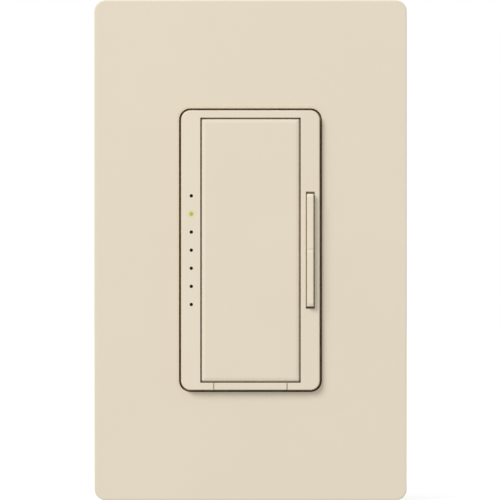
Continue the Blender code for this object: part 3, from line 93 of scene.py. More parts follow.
def centre(node_name):
    """The middle of a solid's box."""
    return Point(*((low + high) / 2 for low, high in zip(*corners(node_name))))


def joint(name):
    """A joint of the record, by its name."""
    return next(found for found in frame["joints"] if found["name"] == name)


# Gaps and overlaps. Sizes are in millimetres, unless a comment says otherwise.
SEAT_GAP = 0.3  # between pieces that rest on each other
CONTACT_GAP = 0.1  # between pieces that press on each other
RUNNING_GAP = 0.2  # round a pin that turns
BITE = 0.5  # how far joined shapes run into each other
PAST = 1.0  # how far a cutter runs past a wall

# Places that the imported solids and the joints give
YOKE_FRONT = corners("yoke")[0].y
BOARD_BACK = corners("control_board")[1].y
PLATE_LOW, PLATE_HIGH = corners("wallplate")
BEZEL_LOW, BEZEL_HIGH = corners("bezel")
PADDLE_HIGH = corners("tap_paddle")[1]
ROCKER_LOW, ROCKER_HIGH = corners("dimming_rocker")
TAB_LOW, TAB_HIGH = corners("service_switch_tab")
PIPE_LOW, PIPE_HIGH = corners("light_pipe")
SPRING_LOW, SPRING_HIGH = corners("paddle_spring")
HOUSING_LOW, HOUSING_HIGH = corners("back_housing")
PLUNGER_LOW, PLUNGER_HIGH = corners("raise_switch_plunger")
CONTACT_LOW, CONTACT_HIGH = corners("line_contact")
PADDLE_PIVOT = millimetres(joint("paddle_press")["pos_m"])
PADDLE_SWITCH_Z = centre("paddle_switch_plunger").z
ROCKER_PIVOT = millimetres(joint("rocker_tilt")["pos_m"])
ROCKER_SWITCHES = [centre(word + "_switch_plunger").z for word in ("raise", "lower")]
LIGHTS = [centre(f"level_light_{number}") for number in range(1, 8)]
HOUSING_SCREWS = [centre(f"housing_screw_{number}") for number in range(1, 5)]
HOUSING_SCREW_END = corners("housing_screw_1")[1].y
TERMINALS = [centre(f"terminal_screw_{number}") for number in range(1, 4)]
TERMINAL_HEAD_RADIUS = corners("terminal_screw_1")[1].z - TERMINALS[0].z

# Wallplate. An edge is an arc and, in front of it, a band at a slope in degrees.
PLATE_FRONT = PLATE_LOW.y
PLATE_CORNER = 2.63
PLATE_WALL = 1.8
PLATE_BACK_ROUND = 0.2
PLATE_EDGE = {"radius": 0.2, "steps": 4, "slope": 3, "band": 0.35}
OPENING_GAP = 0.5  # round the bezel
OPENING_EDGE = {"radius": 0.1, "steps": 3, "slope": 9, "band": 0.5}
COLLAR_WALL = 1.0
COLLAR_DEPTH = 1.0
CATCH_WIDTH = 8.0
CATCH_REACH = 1.1
CATCH_HEIGHT = 1.0
CATCH_BITE = 0.2
CATCH_ROUND = 0.25
CATCH_OFFSET = 36.0  # from the plate's middle to a side catch
END_CATCH_OFFSET = 20.0  # from the plate's middle to an end catch

# Bezel. It is drawn a little narrower than its solid, by the trim.
BEZEL_FRONT = BEZEL_LOW.y
BEZEL_BACK = YOKE_FRONT - SEAT_GAP
BEZEL_TRIM = 0.1
BEZEL_WALL = 1.0
BEZEL_SKIN = 1.4
BEZEL_FALL = 0.23  # how far the side bars fall back at their outer edges
BEZEL_CORNER = 2.2
BEZEL_EDGE = {"radius": 0.22, "steps": 4}
FLANGE_REACH = 0.8
FLANGE_THICKNESS = 1.2
DRAFT_REACH = 0.4  # how far the sides lean out below the plate's face
DRAFT_DEPTH = 0.6  # from the plate's face to where they start
DRAFT_LENGTH = 1.1
CROWN_BLEND = 0.5  # half the width of the bend from the flat front to a side bar
CROWN_OFFSETS = (-0.78, -0.38, 0.0, 0.42, 0.92)  # points of that bend, from the window's edge
LEG_HEIGHT = 25.8  # from the middle up or down to a snap leg
LEG_WIDTH = 4.0
HOOK_HEIGHT = 1.2
FACE_ZONE = 0.4  # how deep the edges that count as the front's may lie
SLOT_SOFTENING = 0.05
HOLE_SOFTENING = 0.03
HOLE_ZONE = 0.5  # from a light's middle, how far its hole's edge may lie

# Paddle. The trim is how much smaller it is drawn than its solid.
PADDLE_TRIM = 0.08
PADDLE_GAP = 0.33
PADDLE_CORNER = 0.35
PADDLE_EDGE = {"radius": 0.4, "steps": 6, "slope": 11, "band": 0.5}
PADDLE_SKIN = 1.8
PADDLE_WALL = 1.2
PADDLE_INSIDE_CORNER = 0.4
PADDLE_DEPTH = 4.2
SKIRT_DEPTH = 1.45  # from the face back to the skirt in the gap
SKIRT_REACH = 0.24
SKIRT_CORNER = 0.55
RIB_WALL = 1.0
RIB_CLEARANCE = 2.0  # from the spring to the rib above it
POST_RADIUS = 1.4
STUB_RADIUS = 1.1
STUB_LENGTH = 1.2
POST_CHAMFER = 0.2
PADDLE_PIN_RADIUS = 0.8
PADDLE_PIN_REACH = 0.6  # into the bezel's wall
PADDLE_PIN_CHAMFER = 0.18

# Rocker and its slot
ROCKER_X = ROCKER_PIVOT.x
ROCKER_HALF_WIDTH = 0.74
ROCKER_BASE_HALF_WIDTH = 0.93
ROCKER_BASE_DEPTH = 0.45  # behind the bezel's face
ROCKER_TRIM = 0.09
ROCKER_EDGE = {"radius": 0.14, "steps": 4}
ROCKER_END_EDGE = {"radius": 0.35, "steps": 5, "slope": 15, "band": 0.55}
ROCKER_BACKING = 0.3  # behind the pin
ROCKER_PIN_RADIUS = 0.7
ROCKER_PIN_CHAMFER = 0.15
ROCKER_LEG_HALF_WIDTH = 0.71
ROCKER_LEG_LENGTH = 2.0
ROCKER_LEG_ROUND = 0.15
ROCKER_SHARP = 45  # degrees
DIP_REACH = 0.56
DIP_DEPTH = 0.12
DIP_STEPS = 4
SLOT_HALF_WIDTH = 1.06
SLOT_END_GAP = 0.45
SLOT_SHELF_LENGTH = 0.25
SLOT_SHELF_DEPTH = 1.0
PLUNGER_STROKE = 0.6

# Service switch and its bay
TAB_TRIM = 0.09
TAB_DEPTH = 4.4
TAB_EDGE = {"radius": BEZEL_EDGE["radius"], "steps": 5}
TAB_TOP_EDGE = {"radius": 0.12, "steps": 2}
TAB_END_CHAMFER = 0.06
ARM_HALF_WIDTH = 5.0
ARM_INSET = 0.3  # from the tab's lower edge up to the arm
ARM_THICKNESS = 1.3
ARM_ROUND = 0.12
ARM_RELIEF = 0.2  # how far the arm's way runs below the bezel's lower edge
BAY_HALF_WIDTH = 8.74
BAY_SHELF_HALF_WIDTH = 8.88
BAY_SHELF_DEPTH = 0.35

# Level lights. A tip's dome has shares of its radius, each with its distance from the front.
LIGHT_X = LIGHTS[0].x
LIGHT_HEIGHTS = [light.z for light in LIGHTS]
LIT_HEIGHT = LIGHT_HEIGHTS[1]  # the second from the top is lit
LIGHT_HOLE_RADIUS = 0.41
TIP_DOME = ((0.32, 0.0), (0.65, 0.02), (0.89, 0.06), (1.0, 0.14), (1.0, 2.0))
TIP = {"radius": 0.37, "recess": 0.13}
LIT_TIP = {"radius": 0.4, "recess": 0.03}
TIP_SIDES = 20
RAIL_HALF_WIDTH = 0.9
RAIL_DEPTH = 2.0
RAIL_ROUND = 0.15
RAIL_OVERLAP = 0.43  # how far rods and feet start inside the rail
ROD_RADIUS = 0.7
ROD_SIDES = 16
FOOT_HALF_WIDTH = 0.78
FOOT_LENGTH = 1.6
# The lit light's glow is painted into the bezel's colour: where the painted glow starts to fade, where it ends,
# and its colour
PAINTED_GLOW_START = 0.3  # from the lit light's middle to where its glow begins to fade
PAINTED_GLOW_END = 1.2
PAINTED_GLOW_COLOUR = (0.66, 0.65, 0.26, 1)

# Screws. A head's outline has shares of its radius and of its height.
HEAD_OUTLINE = (
    (0.45, 0.0), (0.72, 0.06), (0.88, 0.2), (0.97, 0.42), (1.0, 0.62), (1.0, 0.94), (0.96, 1.0),
)
HEAD_SIDES = 40
HEAD_OVERLAP = 0.2
SLOT_WIDTH_SHARE = 0.32  # of the head's radius
SLOT_DEPTH_SHARE = 0.55  # of the head's height
CROSS_REACH_SHARE = 0.55  # of the head's radius
CROSS_DEPTH_SHARE = 1.4  # of the slot's depth
THREAD_DEPTH_SHARE = 0.2  # of the shank's radius
THREAD_STEEPNESS = 1.6
THREAD_LAND = 0.3
POINT_SHARE = 0.72  # radius at the very end, as a share of the shank's
POINT_SLOPE = 0.8
DEVICE_SCREW = ScrewKind(head=2.0, radius=1.7, pitch=0.79, sides=16, slot="zinc_steel")
PLATE_SCREW = ScrewKind(head=1.6, radius=1.65, pitch=0.79, sides=16, slot="painted_screw")
GROUND_SCREW = ScrewKind(head=2.0, radius=1.7, pitch=0.79, sides=12, slot="green_screw")
HOUSING_SCREW = ScrewKind(head=1.6, radius=1.3, pitch=1.0, sides=10, slot="zinc_steel")
TERMINAL_SCREW = ScrewKind(head=1.6, radius=1.6, pitch=0.79, sides=12, slot="brass")

# Back housing. A sunk shape's floor and top are (width, height, corner); up is from the middle.
HOUSING_CORNER = 2.5
HOUSING_WALL = 1.8
HOUSING_EDGE = {"radius": 1.0, "steps": 6}
RIM_ROUND = 0.15
GROOVE_FROM_RIM = 2.7
GROOVE_DEPTH = 0.25
GROOVE_SLOPE = 0.15
GROOVE_WIDTH = 0.4
PANEL = {"floor": (23.0, 33.0, 1.2), "top": (23.5, 33.5, 1.4), "depth": 0.3, "up": 0, "steps": 6}
GAUGE = {"floor": (1.6, 12.0, 0.5), "top": (1.8, 12.2, 0.6), "depth": 0.4, "up": 25.0, "steps": 4}
BACK_PAST = 0.7  # how far the back's cutters run past it
SINK_PAST = 0.05  # how far past the back a hole's chamfer ends
SCREW_POST_RADIUS = 2.4
SCREW_WELL_RADIUS = 3.4
SCREW_HOLE_RADIUS = 1.45
HEAD_ROOM_RADIUS = 2.7
HEAD_ROOM_CHAMFER = 0.4
CONTACT_RIB_WALL = 1.5
TERMINAL_WINDOW_GAP = 0.6
TERMINAL_WINDOW_ROUND = 0.5
TERMINAL_WINDOW_SOFTENING = 0.3
TERMINAL_ZONE = (0.25, 5.0)  # from the housing's side and from a terminal, where edges are softened
WIRE_HOLE_RADIUS = 1.2
WIRE_HOLE_SPREAD = 2.6
WIRE_HOLE_CHAMFER = 0.55

# Spring
SPRING_ARM = 43.0  # from the paddle's pivot down to the spring
SPRING_RADIUS = 2.0
SPRING_WIRE_RADIUS = 0.25
SPRING_TURNS = 5
SPRING_POINTS_A_TURN = 36
SPRING_WIRE_SIDES = 10

# Drawing and shading
CORNER_STEPS = 8
SMALL_CORNER_STEPS = 4
ROUND_SIDES = 24
SMALLEST_CORNER = 0.01
BAND_BLEND = 0.06  # where a sloped band meets the front
EDGE_ROUND = 0.1
EDGE_STEPS = 2
SOFTENED_ABOVE = 0.6  # radians
FLAT_WITHIN = math.radians(0.2)
SMOOTH_BELOW = 32  # degrees
KEPT_SMOOTH_BELOW = math.radians(35)  # kept means the solids that stay
KEPT_FLAT_WITHIN = math.radians(0.5)
KEPT_ROUNDED_ABOVE = math.radians(40)
KEPT_ROUND = 0.12
KEPT_MERGE = 1e-6  # metres
NOISE_LOW, NOISE_HIGH = 0.3, 0.7  # the part of a noise's range that a finish uses
NOISE_ROUGHNESS = 0.55
DRIFT_DETAIL = 3.0
RELIEF_DETAIL = 2.0
ALMOND = (0.735, 0.655, 0.520)

# Stage. Its lengths are in metres.
FILL_STRENGTH = 0.62
KEY_DIRECTION = (-0.9, -1, 1)
KEY_DISTANCE = 2.4
KEY_SIZE = 1.1
KEY_ENERGY = 41.4  # watts
FLOOR_RADIUS = 4
FLOOR_SIDES = 96
FLOOR_DROP = 0.0002
FLOOR_GLOW = 0.55
CAMERA_DISTANCE = 1.8
CAMERA_ASIDE = -0.00011
CAMERA_RAISED = 0.00004

# Sizes that follow from those above
BEZEL_HALF_WIDTH = BEZEL_HIGH.x - FLANGE_REACH
BEZEL_HALF_HEIGHT = BEZEL_HIGH.z - FLANGE_REACH
WINDOW_HALF_WIDTH = PADDLE_HIGH.x - PADDLE_PIN_REACH
WINDOW_HALF_HEIGHT = -TAB_HIGH.z
SIDE_SLOPE = BEZEL_FALL / (BEZEL_HALF_WIDTH - WINDOW_HALF_WIDTH)
CAVITY_INNER = WINDOW_HALF_WIDTH + BEZEL_WALL
CAVITY_OUTER = BEZEL_HALF_WIDTH - BEZEL_WALL
CAVITY_FRONT = BEZEL_FRONT + BEZEL_FALL + BEZEL_SKIN
PADDLE_WIDTH = 2 * (WINDOW_HALF_WIDTH - PADDLE_GAP) - PADDLE_TRIM
PADDLE_HEIGHT = 2 * PADDLE_HIGH.z - PADDLE_TRIM
PADDLE_INSIDE = BEZEL_FRONT + PADDLE_SKIN
PADDLE_BACK = BEZEL_FRONT + PADDLE_DEPTH
ROCKER_BACK = ROCKER_PIVOT.y + ROCKER_PIN_RADIUS + ROCKER_BACKING
TAB_BACK = BEZEL_FRONT + TAB_DEPTH
SPRING_Z = PADDLE_PIVOT.z - SPRING_ARM
PLATE_SIZE = (PLATE_HIGH.x - PLATE_LOW.x, PLATE_HIGH.z - PLATE_LOW.z, PLATE_CORNER)
HOUSING_SIZE = (HOUSING_HIGH.x - HOUSING_LOW.x, HOUSING_HIGH.z - HOUSING_LOW.z, HOUSING_CORNER)
HOUSING_BACK = HOUSING_HIGH.y
HOUSING_FLOOR = HOUSING_BACK - HOUSING_WALL


# Drawing

def around(middle, reach):
    """The range that reaches as far to each side of a place."""
    return (middle - reach, middle + reach)


def both(low, high):
    """The range low..high on each side of the middle."""
    return ((low, high), (-high, -low))


def grown(size, by):
    """A (width, height, corner) outline with its sides moved out, or in where by is negative."""
    width, height, corner = size
    return width + 2 * by, height + 2 * by, corner + by


def ring(width, height, radius, y, steps=CORNER_STEPS, stations=()):
    """A rounded rectangle at depth y, anticlockwise from the front.

    Its top and bottom edges have extra points at each station, on both sides of the middle.
    """
    radius = max(radius, SMALLEST_CORNER)
    across, up = width / 2 - radius, height / 2 - radius
    points = []
    for turn, (side, end) in enumerate(((1, -1), (1, 1), (-1, 1), (-1, -1))):
        for step in range(steps + 1):
            angle = math.radians(90 * (turn - 1 + step / steps))
            x = side * across + radius * math.cos(angle)
            points.append((x, y, end * up + radius * math.sin(angle)))
        places = sorted([-x for x in stations] + list(stations), reverse=turn == 1)
        if turn in (1, 3):
            points += [(x, y, end * height / 2) for x in places]
    return points


def arc(radius, steps, slope=0.0, band=0.0):
    """(inset, drop) points from the side of a rounded edge to the front, with its sloped band."""
    lean = math.radians(slope)
    fall = band * math.tan(lean) + radius * math.cos(lean)
    turns = [(math.pi / 2 - lean) * step / steps for step in range(steps + 1)]
    points = [(radius * (1 - math.cos(t)), fall - radius * math.sin(t)) for t in turns]
    if band:
        end = points[-1][0] + band
        points.append((end - BAND_BLEND, BAND_BLEND * math.tan(lean)))
        points.append((end + BAND_BLEND / 2, 0.0))
    return points


def peg(radius, start, end, chamfer):
    """The profile of a round peg whose end is chamfered."""
    return [(radius, start), (radius, end - chamfer), (radius - chamfer, end)]


def circle(sides):
    """The cosine and the sine of each direction round a circle."""
    angles = [2 * math.pi * side / sides for side in range(sides)]
    return [(math.cos(angle), math.sin(angle)) for angle in angles]


def crown(x):
    """How far the bezel's front lies behind its flat middle."""
    past = abs(x) - WINDOW_HALF_WIDTH
    if past > CROWN_BLEND:
        return past * SIDE_SLOPE
    return SIDE_SLOPE * max(past + CROWN_BLEND, 0) ** 2 / (4 * CROWN_BLEND)


def loft(shape, rings, hoop=False, last=True):
    """Walls between rings. A hoop joins the last to the first; otherwise the ends are capped.

    The last end stays open where last is False.
    """
    made = [[shape.verts.new(point) for point in points] for points in rings]
    for low, high in zip(made, made[1:] + made[:1] if hoop else made[1:]):
        for here, _ in enumerate(low):
            there = (here + 1) % len(low)
            shape.faces.new((low[here], low[there], high[there], high[here]))
    if not hoop:
        shape.faces.new(made[0][::-1])
    if last and not hoop:
        shape.faces.new(made[-1])
    return made


def block(shape, x, y, z, edge=EDGE_ROUND):
    """A box with rounded edges."""
    size = Vector((x[1] - x[0], y[1] - y[0], z[1] - z[0]))
    middle = Vector((x[0] + x[1], y[0] + y[1], z[0] + z[1])) / 2
    place = Matrix.Translation(middle) @ Matrix.Diagonal((*size, 1))
    verts = bmesh.ops.create_cube(shape, size=1, matrix=place)["verts"]
    if edge:
        edges = dict.fromkeys(e for v in verts for e in v.link_edges)
        round_edges(shape, list(edges), edge)


def round_edges(shape, edges, width, clamp=False):
    settings = {"segments": EDGE_STEPS, "profile": 0.5, "affect": "EDGES", "clamp_overlap": clamp}
    bmesh.ops.bevel(shape, geom=edges, offset=width, **settings)


def turned(shape, profile, axis, place, sides=ROUND_SIDES):
    """A round body: (radius, distance along the axis) points turned about an axis through place."""
    first, second, along = {"X": (1, 2, 0), "Y": (2, 0, 1)}[axis]
    rings = []
    for radius, distance in profile:
        points = []
        for cosine, sine in circle(sides):
            point = list(place)
            point[first] += radius * cosine
            point[second] += radius * sine
            point[along] += distance
            points.append(point)
        rings.append(points)
    loft(shape, rings)


def solid(name, draw, *args, **kwargs):
    """An object, still in millimetres, from one drawing call."""
    shape = bmesh.new()
    draw(shape, *args, **kwargs)
    return settle(name, shape)


def settle(name, shape):
    """An object in the scene from a drawn shape."""
    bmesh.ops.recalc_face_normals(shape, faces=shape.faces)
    mesh = bpy.data.meshes.new(name)
    shape.to_mesh(mesh)
    shape.free()
    return placed(name, mesh)


def placed(name, data):
    """An object in the scene."""
    made = bpy.data.objects.new(name, data)
    scene.collection.objects.link(made)
    return made


def added(draw, *args, **kwargs):
    """A Boolean step that adds a drawn shape."""
    return "UNION", solid("helper", draw, *args, **kwargs)


def cut(draw, *args, **kwargs):
    """A Boolean step that takes a drawn shape away."""
    return "DIFFERENCE", solid("helper", draw, *args, **kwargs)


def modify(piece, kind, **settings):
    """Gives a piece a modifier."""
    made = piece.modifiers.new(kind.lower(), kind)
    for name, value in settings.items():
        setattr(made, name, value)


def bake(piece, *steps):
    """Applies Boolean steps, each a kind and a helper, and drops the helpers."""
    for kind, helper in steps:
        modify(piece, "BOOLEAN", operation=kind, object=helper, solver="EXACT")
    bpy.context.view_layer.update()
    graph = bpy.context.evaluated_depsgraph_get()
    mesh = bpy.data.meshes.new_from_object(piece.evaluated_get(graph))
    piece.modifiers.clear()
    piece.data = mesh
    for _, helper in steps:
        bpy.data.objects.remove(helper)


def hollow(piece, *boxes):
    """Cuts boxes, each (x, y, z) ranges, out of a piece."""
    bake(piece, *[cut(block, *box, edge=0) for box in boxes])


def soften(piece, wanted, width):
    """Rounds the sharp edges whose two ends both pass the test."""
    shape = bmesh.new()
    shape.from_mesh(piece.data)
    sharp = [e for e in shape.edges if e.calc_face_angle(0) > SOFTENED_ABOVE]
    edges = [e for e in sharp if all(wanted(v.co) for v in e.verts)]
    round_edges(shape, edges, width, clamp=True)
    shape.to_mesh(piece.data)
    shape.free()


def dress(piece, slot, *nodes, body="dimmer_body", finish=None, sharp=SMOOTH_BELOW):
    """Completes a piece: metres, smooth shading, its finish, its body and the nodes it stands for.

    Its finish is the slot's, unless it has one of its own.
    """
    shape = bmesh.new()
    shape.from_mesh(piece.data)
    bmesh.ops.scale(shape, vec=(MM, MM, MM), verts=shape.verts)
    for face in shape.faces:
        face.smooth = True
    for edge in shape.edges:
        edge.smooth = edge.calc_face_angle(math.pi) < math.radians(sharp)
    shape.to_mesh(piece.data)
    shape.free()
    piece.data.materials.clear()
    piece.data.materials.append(FINISH[finish or slot])
    modify(piece, "WEIGHTED_NORMAL", keep_sharp=True)
    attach(piece, body)
    if nodes:
        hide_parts(*nodes)


# Materials

def node(tree, kind, inputs=None, **settings):
    """A shader node. Its inputs, by name or number, are values or other nodes' outputs to link."""
    made = tree.nodes.new("ShaderNode" + kind)
    for name, value in settings.items():
        setattr(made, name, value)
    for name, value in (inputs or {}).items():
        if isinstance(value, bpy.types.NodeSocket):
            tree.links.new(value, made.inputs[name])
        else:
            made.inputs[name].default_value = value
    return made


def noise(tree, place, scale, detail):
    inputs = {"Vector": place, "Scale": scale, "Detail": detail, "Roughness": NOISE_ROUGHNESS}
    return node(tree, "TexNoise", inputs).outputs["Fac"]


def spread(tree, value, start, end, low, high, **settings):
    """A value moved from the range start..end to the range low..high."""
    inputs = {"Value": value, "From Min": start, "From Max": end, "To Min": low, "To Max": high}
    return node(tree, "MapRange", inputs, **settings).outputs["Result"]


def blended(tree, value, dark, light):
    """A noise value turned into a colour between two."""
    made = node(tree, "ValToRGB", {"Fac": value})
    stops = ((NOISE_LOW, dark), (NOISE_HIGH, light))
    for element, (place, colour) in zip(made.color_ramp.elements, stops):
        element.position = place
        element.color = (*colour, 1)
    return made.outputs["Color"]


def surface(name, colours, rough, grain, relief, stretch=(1, 1, 1), **fixed):
    """A finish whose colour and roughness drift with one noise, with relief from a finer one.

    colours are its dark and its light one, and rough is a range of roughness. grain is the drift's
    scale. relief is the fine noise's scale, its strength and its depth in micrometres. Other
    sockets have fixed values.
    """
    made = bpy.data.materials.new(name)
    made.use_nodes = True
    tree = made.node_tree
    shader = tree.nodes["Principled BSDF"]
    place = node(tree, "TexCoord").outputs["Object"]
    place = node(tree, "Mapping", {"Vector": place, "Scale": stretch}).outputs["Vector"]
    drift = noise(tree, place, grain, DRIFT_DETAIL)
    tree.links.new(blended(tree, drift, *colours), shader.inputs["Base Color"])
    roughness = spread(tree, drift, NOISE_LOW, NOISE_HIGH, *rough)
    tree.links.new(roughness, shader.inputs["Roughness"])
    scale, strength, depth = relief
    fine = noise(tree, place, scale, RELIEF_DETAIL)
    bump = node(tree, "Bump", {"Height": fine, "Strength": strength, "Distance": depth * MICRON})
    tree.links.new(bump.outputs["Normal"], shader.inputs["Normal"])
    for socket, value in fixed.items():
        shader.inputs[socket.replace("_", " ")].default_value = value
    return made


def tones(colour, share):
    """A colour made darker by a share, and the same colour made lighter by it."""
    return [tuple(min(value * factor, 1) for value in colour) for factor in (1 - share, 1 + share)]


def almond(name, lighter=1.0):
    """The plastic of the front, at a lightness of its own."""
    colours = tones([value * lighter for value in ALMOND], 0.006)
    return surface(name, colours, rough=(0.40, 0.46), grain=70, relief=(4200, 0.05, 30))


def almond_with_painted_glow(name, lighter):
    """The bezel's plastic, with the lit light's yellow-green glow painted into its colour round that light."""
    made = almond(name, lighter)
    tree = made.node_tree
    colour = tree.nodes["Principled BSDF"].inputs["Base Color"]
    plain = colour.links[0].from_socket
    # Painted glow: the base colour turns yellow-green near the lit light
    lamp = Vector((LIGHT_X, BEZEL_FRONT + crown(LIGHT_X), LIT_HEIGHT)) * MM
    place = node(tree, "TexCoord").outputs["Object"]
    away = node(tree, "VectorMath", {0: place, 1: lamp}, operation="DISTANCE").outputs["Value"]
    fade = (PAINTED_GLOW_START * MM, PAINTED_GLOW_END * MM, 1, 0)
    near = spread(tree, away, *fade, interpolation_type="SMOOTHSTEP")
    mix = node(tree, "MixRGB", {"Fac": near, "Color1": plain, "Color2": PAINTED_GLOW_COLOUR})
    tree.links.new(mix.outputs["Color"], colour)
    return made


FINISH = {
    "almond_plastic": almond("almond"),
    # The bezel's finish, with the lit light's glow painted round it
    "almond_painted_glow": almond_with_painted_glow("almond_painted_glow", lighter=1.015),
    "almond_rocker": almond("almond_rocker", lighter=1.035),
    "adapter_plastic": surface(
        "adapter", tones((0.66, 0.60, 0.49), 0.02), rough=(0.5, 0.6), grain=60,
        relief=(2500, 0.12, 40),
    ),
    "black_plastic": surface(
        "black", tones((0.016, 0.016, 0.017), 0.15), rough=(0.48, 0.62), grain=220,
        relief=(2400, 0.35, 60),
    ),
    "clear_plastic": surface(
        "smoked", tones((0.008, 0.004, 0.001), 0.2), rough=(0.3, 0.4), grain=300,
        relief=(2000, 0.03, 20), Specular_IOR_Level=0.15,
    ),
    "white_plastic": surface(
        "white", tones((0.78, 0.77, 0.74), 0.01), rough=(0.4, 0.5), grain=90,
        relief=(3000, 0.06, 30),
    ),
    "aluminium": surface(
        "aluminium", ((0.56, 0.565, 0.57), (0.70, 0.705, 0.71)), rough=(0.30, 0.46), grain=3200,
        relief=(6500, 0.16, 40), stretch=(1, 1, 0.015), Metallic=1.0,
    ),
    "zinc_steel": surface(
        "zinc", ((0.50, 0.51, 0.53), (0.68, 0.69, 0.70)), rough=(0.26, 0.42), grain=650,
        relief=(5200, 0.08, 30), Metallic=1.0,
    ),
    "painted_screw": surface(
        "paint", tones((0.70, 0.63, 0.50), 0.02), rough=(0.3, 0.4), grain=400,
        relief=(1800, 0.1, 40),
    ),
    "brass": surface(
        "brass", ((0.52, 0.36, 0.13), (0.70, 0.52, 0.22)), rough=(0.22, 0.40), grain=500,
        relief=(4200, 0.08, 30), Metallic=1.0,
    ),
    "green_screw": surface(
        "green_zinc", ((0.035, 0.20, 0.07), (0.07, 0.30, 0.11)), rough=(0.25, 0.40), grain=600,
        relief=(4200, 0.08, 30), Metallic=0.8,
    ),
    "fibre": surface(
        "fibre", ((0.30, 0.17, 0.08), (0.46, 0.29, 0.15)), rough=(0.75, 0.9), grain=1500,
        relief=(2600, 0.5, 80), stretch=(1, 1, 0.25),
    ),
    "board_green": surface(
        "board", ((0.006, 0.07, 0.028), (0.010, 0.11, 0.045)), rough=(0.28, 0.4), grain=900,
        relief=(1400, 0.15, 50),
    ),
    "copper_wire": surface(
        "copper", ((0.46, 0.15, 0.05), (0.60, 0.22, 0.08)), rough=(0.2, 0.34), grain=900,
        relief=(3000, 0.05, 20), Metallic=1.0,
    ),
    "ferrite": surface(
        "ferrite", ((0.02, 0.02, 0.021), (0.05, 0.05, 0.05)), rough=(0.55, 0.75), grain=1800,
        relief=(2600, 0.4, 80),
    ),
    "capacitor_blue": surface(
        "capacitor", ((0.02, 0.07, 0.26), (0.03, 0.10, 0.34)), rough=(0.25, 0.4), grain=260,
        relief=(1200, 0.08, 40),
    ),
    "thermal_grey": surface(
        "thermal", ((0.40, 0.41, 0.42), (0.52, 0.53, 0.54)), rough=(0.75, 0.9), grain=900,
        relief=(1800, 0.4, 60),
    ),
    "lit_light": surface(
        "lamp", ((0.34, 0.35, 0.09), (0.38, 0.39, 0.11)), rough=(0.2, 0.3), grain=1500,
        relief=(2000, 0.03, 20), Emission_Color=(0.80, 0.84, 0.20, 1),
        Emission_Strength=0.14,
    ),
}


# Wallplate

def draw_wallplate(shape):
    opening = grown((2 * BEZEL_HALF_WIDTH, 2 * BEZEL_HALF_HEIGHT, BEZEL_CORNER), OPENING_GAP)
    collar = grown(opening, COLLAR_WALL)
    inside = grown(PLATE_SIZE, -PLATE_WALL)
    inside_front = PLATE_FRONT + PLATE_WALL
    collar_back = inside_front + COLLAR_DEPTH
    back = PLATE_HIGH.y
    rings = [ring(*grown(PLATE_SIZE, -PLATE_BACK_ROUND), back)]
    rings.append(ring(*PLATE_SIZE, back - PLATE_BACK_ROUND))
    for inset, drop in arc(**PLATE_EDGE):
        rings.append(ring(*grown(PLATE_SIZE, -inset), PLATE_FRONT + drop))
    for inset, drop in arc(**OPENING_EDGE)[::-1]:
        rings.append(ring(*grown(opening, inset), PLATE_FRONT + drop))
    rings += [ring(*opening, collar_back), ring(*collar, collar_back)]
    rings += [ring(*collar, inside_front), ring(*inside, inside_front), ring(*inside, back)]
    loft(shape, rings, hoop=True)


def make_wallplate():
    plate = solid("front_plate", draw_wallplate)
    inside_x = PLATE_HIGH.x - PLATE_WALL
    inside_z = PLATE_HIGH.z - PLATE_WALL
    depth = (YOKE_FRONT, YOKE_FRONT + CATCH_HEIGHT)
    half = CATCH_WIDTH / 2
    catches = []
    for x in both(inside_x - CATCH_REACH, inside_x + CATCH_BITE):
        catches += [(x, depth, around(z, half)) for z in (CATCH_OFFSET, -CATCH_OFFSET)]
    for z in both(inside_z - CATCH_REACH, inside_z + CATCH_BITE):
        catches += [(around(x, half), depth, z) for x in (END_CATCH_OFFSET, -END_CATCH_OFFSET)]
    bake(plate, *[added(block, *place, edge=CATCH_ROUND) for place in catches])
    dress(plate, "almond_plastic", "wallplate")


# Bezel

def draw_bezel(shape):
    size = (2 * BEZEL_HALF_WIDTH - BEZEL_TRIM, 2 * BEZEL_HALF_HEIGHT, BEZEL_CORNER)
    stations = [WINDOW_HALF_WIDTH + offset for offset in CROWN_OFFSETS]

    def outline(grow, y):
        return ring(*grown(size, grow), y, CORNER_STEPS, stations)

    flange = BEZEL_BACK - FLANGE_THICKNESS
    draft_front = PLATE_FRONT + DRAFT_DEPTH
    rings = [outline(FLANGE_REACH, BEZEL_BACK), outline(FLANGE_REACH, flange)]
    rings += [outline(DRAFT_REACH, flange), outline(DRAFT_REACH, draft_front + DRAFT_LENGTH)]
    rings.append(outline(0, draft_front))
    for inset, drop in arc(**BEZEL_EDGE):
        points = outline(-inset, BEZEL_FRONT + drop)
        rings.append([(x, y + crown(x), z) for x, y, z in points])
    front = loft(shape, rings, last=False)[-1]
    corner = CORNER_STEPS + 1
    top_end = 3 * corner + 2 * len(stations)
    top = front[corner:top_end]
    bottom = (front[top_end:] + front[:corner])[::-1]
    for here in range(len(top) - 1):
        shape.faces.new((top[here], top[here + 1], bottom[here + 1], bottom[here]))
    bmesh.ops.dissolve_limit(shape, angle_limit=FLAT_WITHIN, verts=shape.verts, edges=shape.edges)


def pin_rooms():
    """Where pins turn in the bezel: each pivot, the room's radius and its range across."""
    start = WINDOW_HALF_WIDTH - BITE
    room = PADDLE_PIN_RADIUS + RUNNING_GAP
    rooms = [(PADDLE_PIVOT, room, across) for across in both(start, CAVITY_INNER + BITE)]
    room = ROCKER_PIN_RADIUS + RUNNING_GAP
    rooms.append((ROCKER_PIVOT, room, (start, ROCKER_HIGH.x + RUNNING_GAP)))
    return rooms


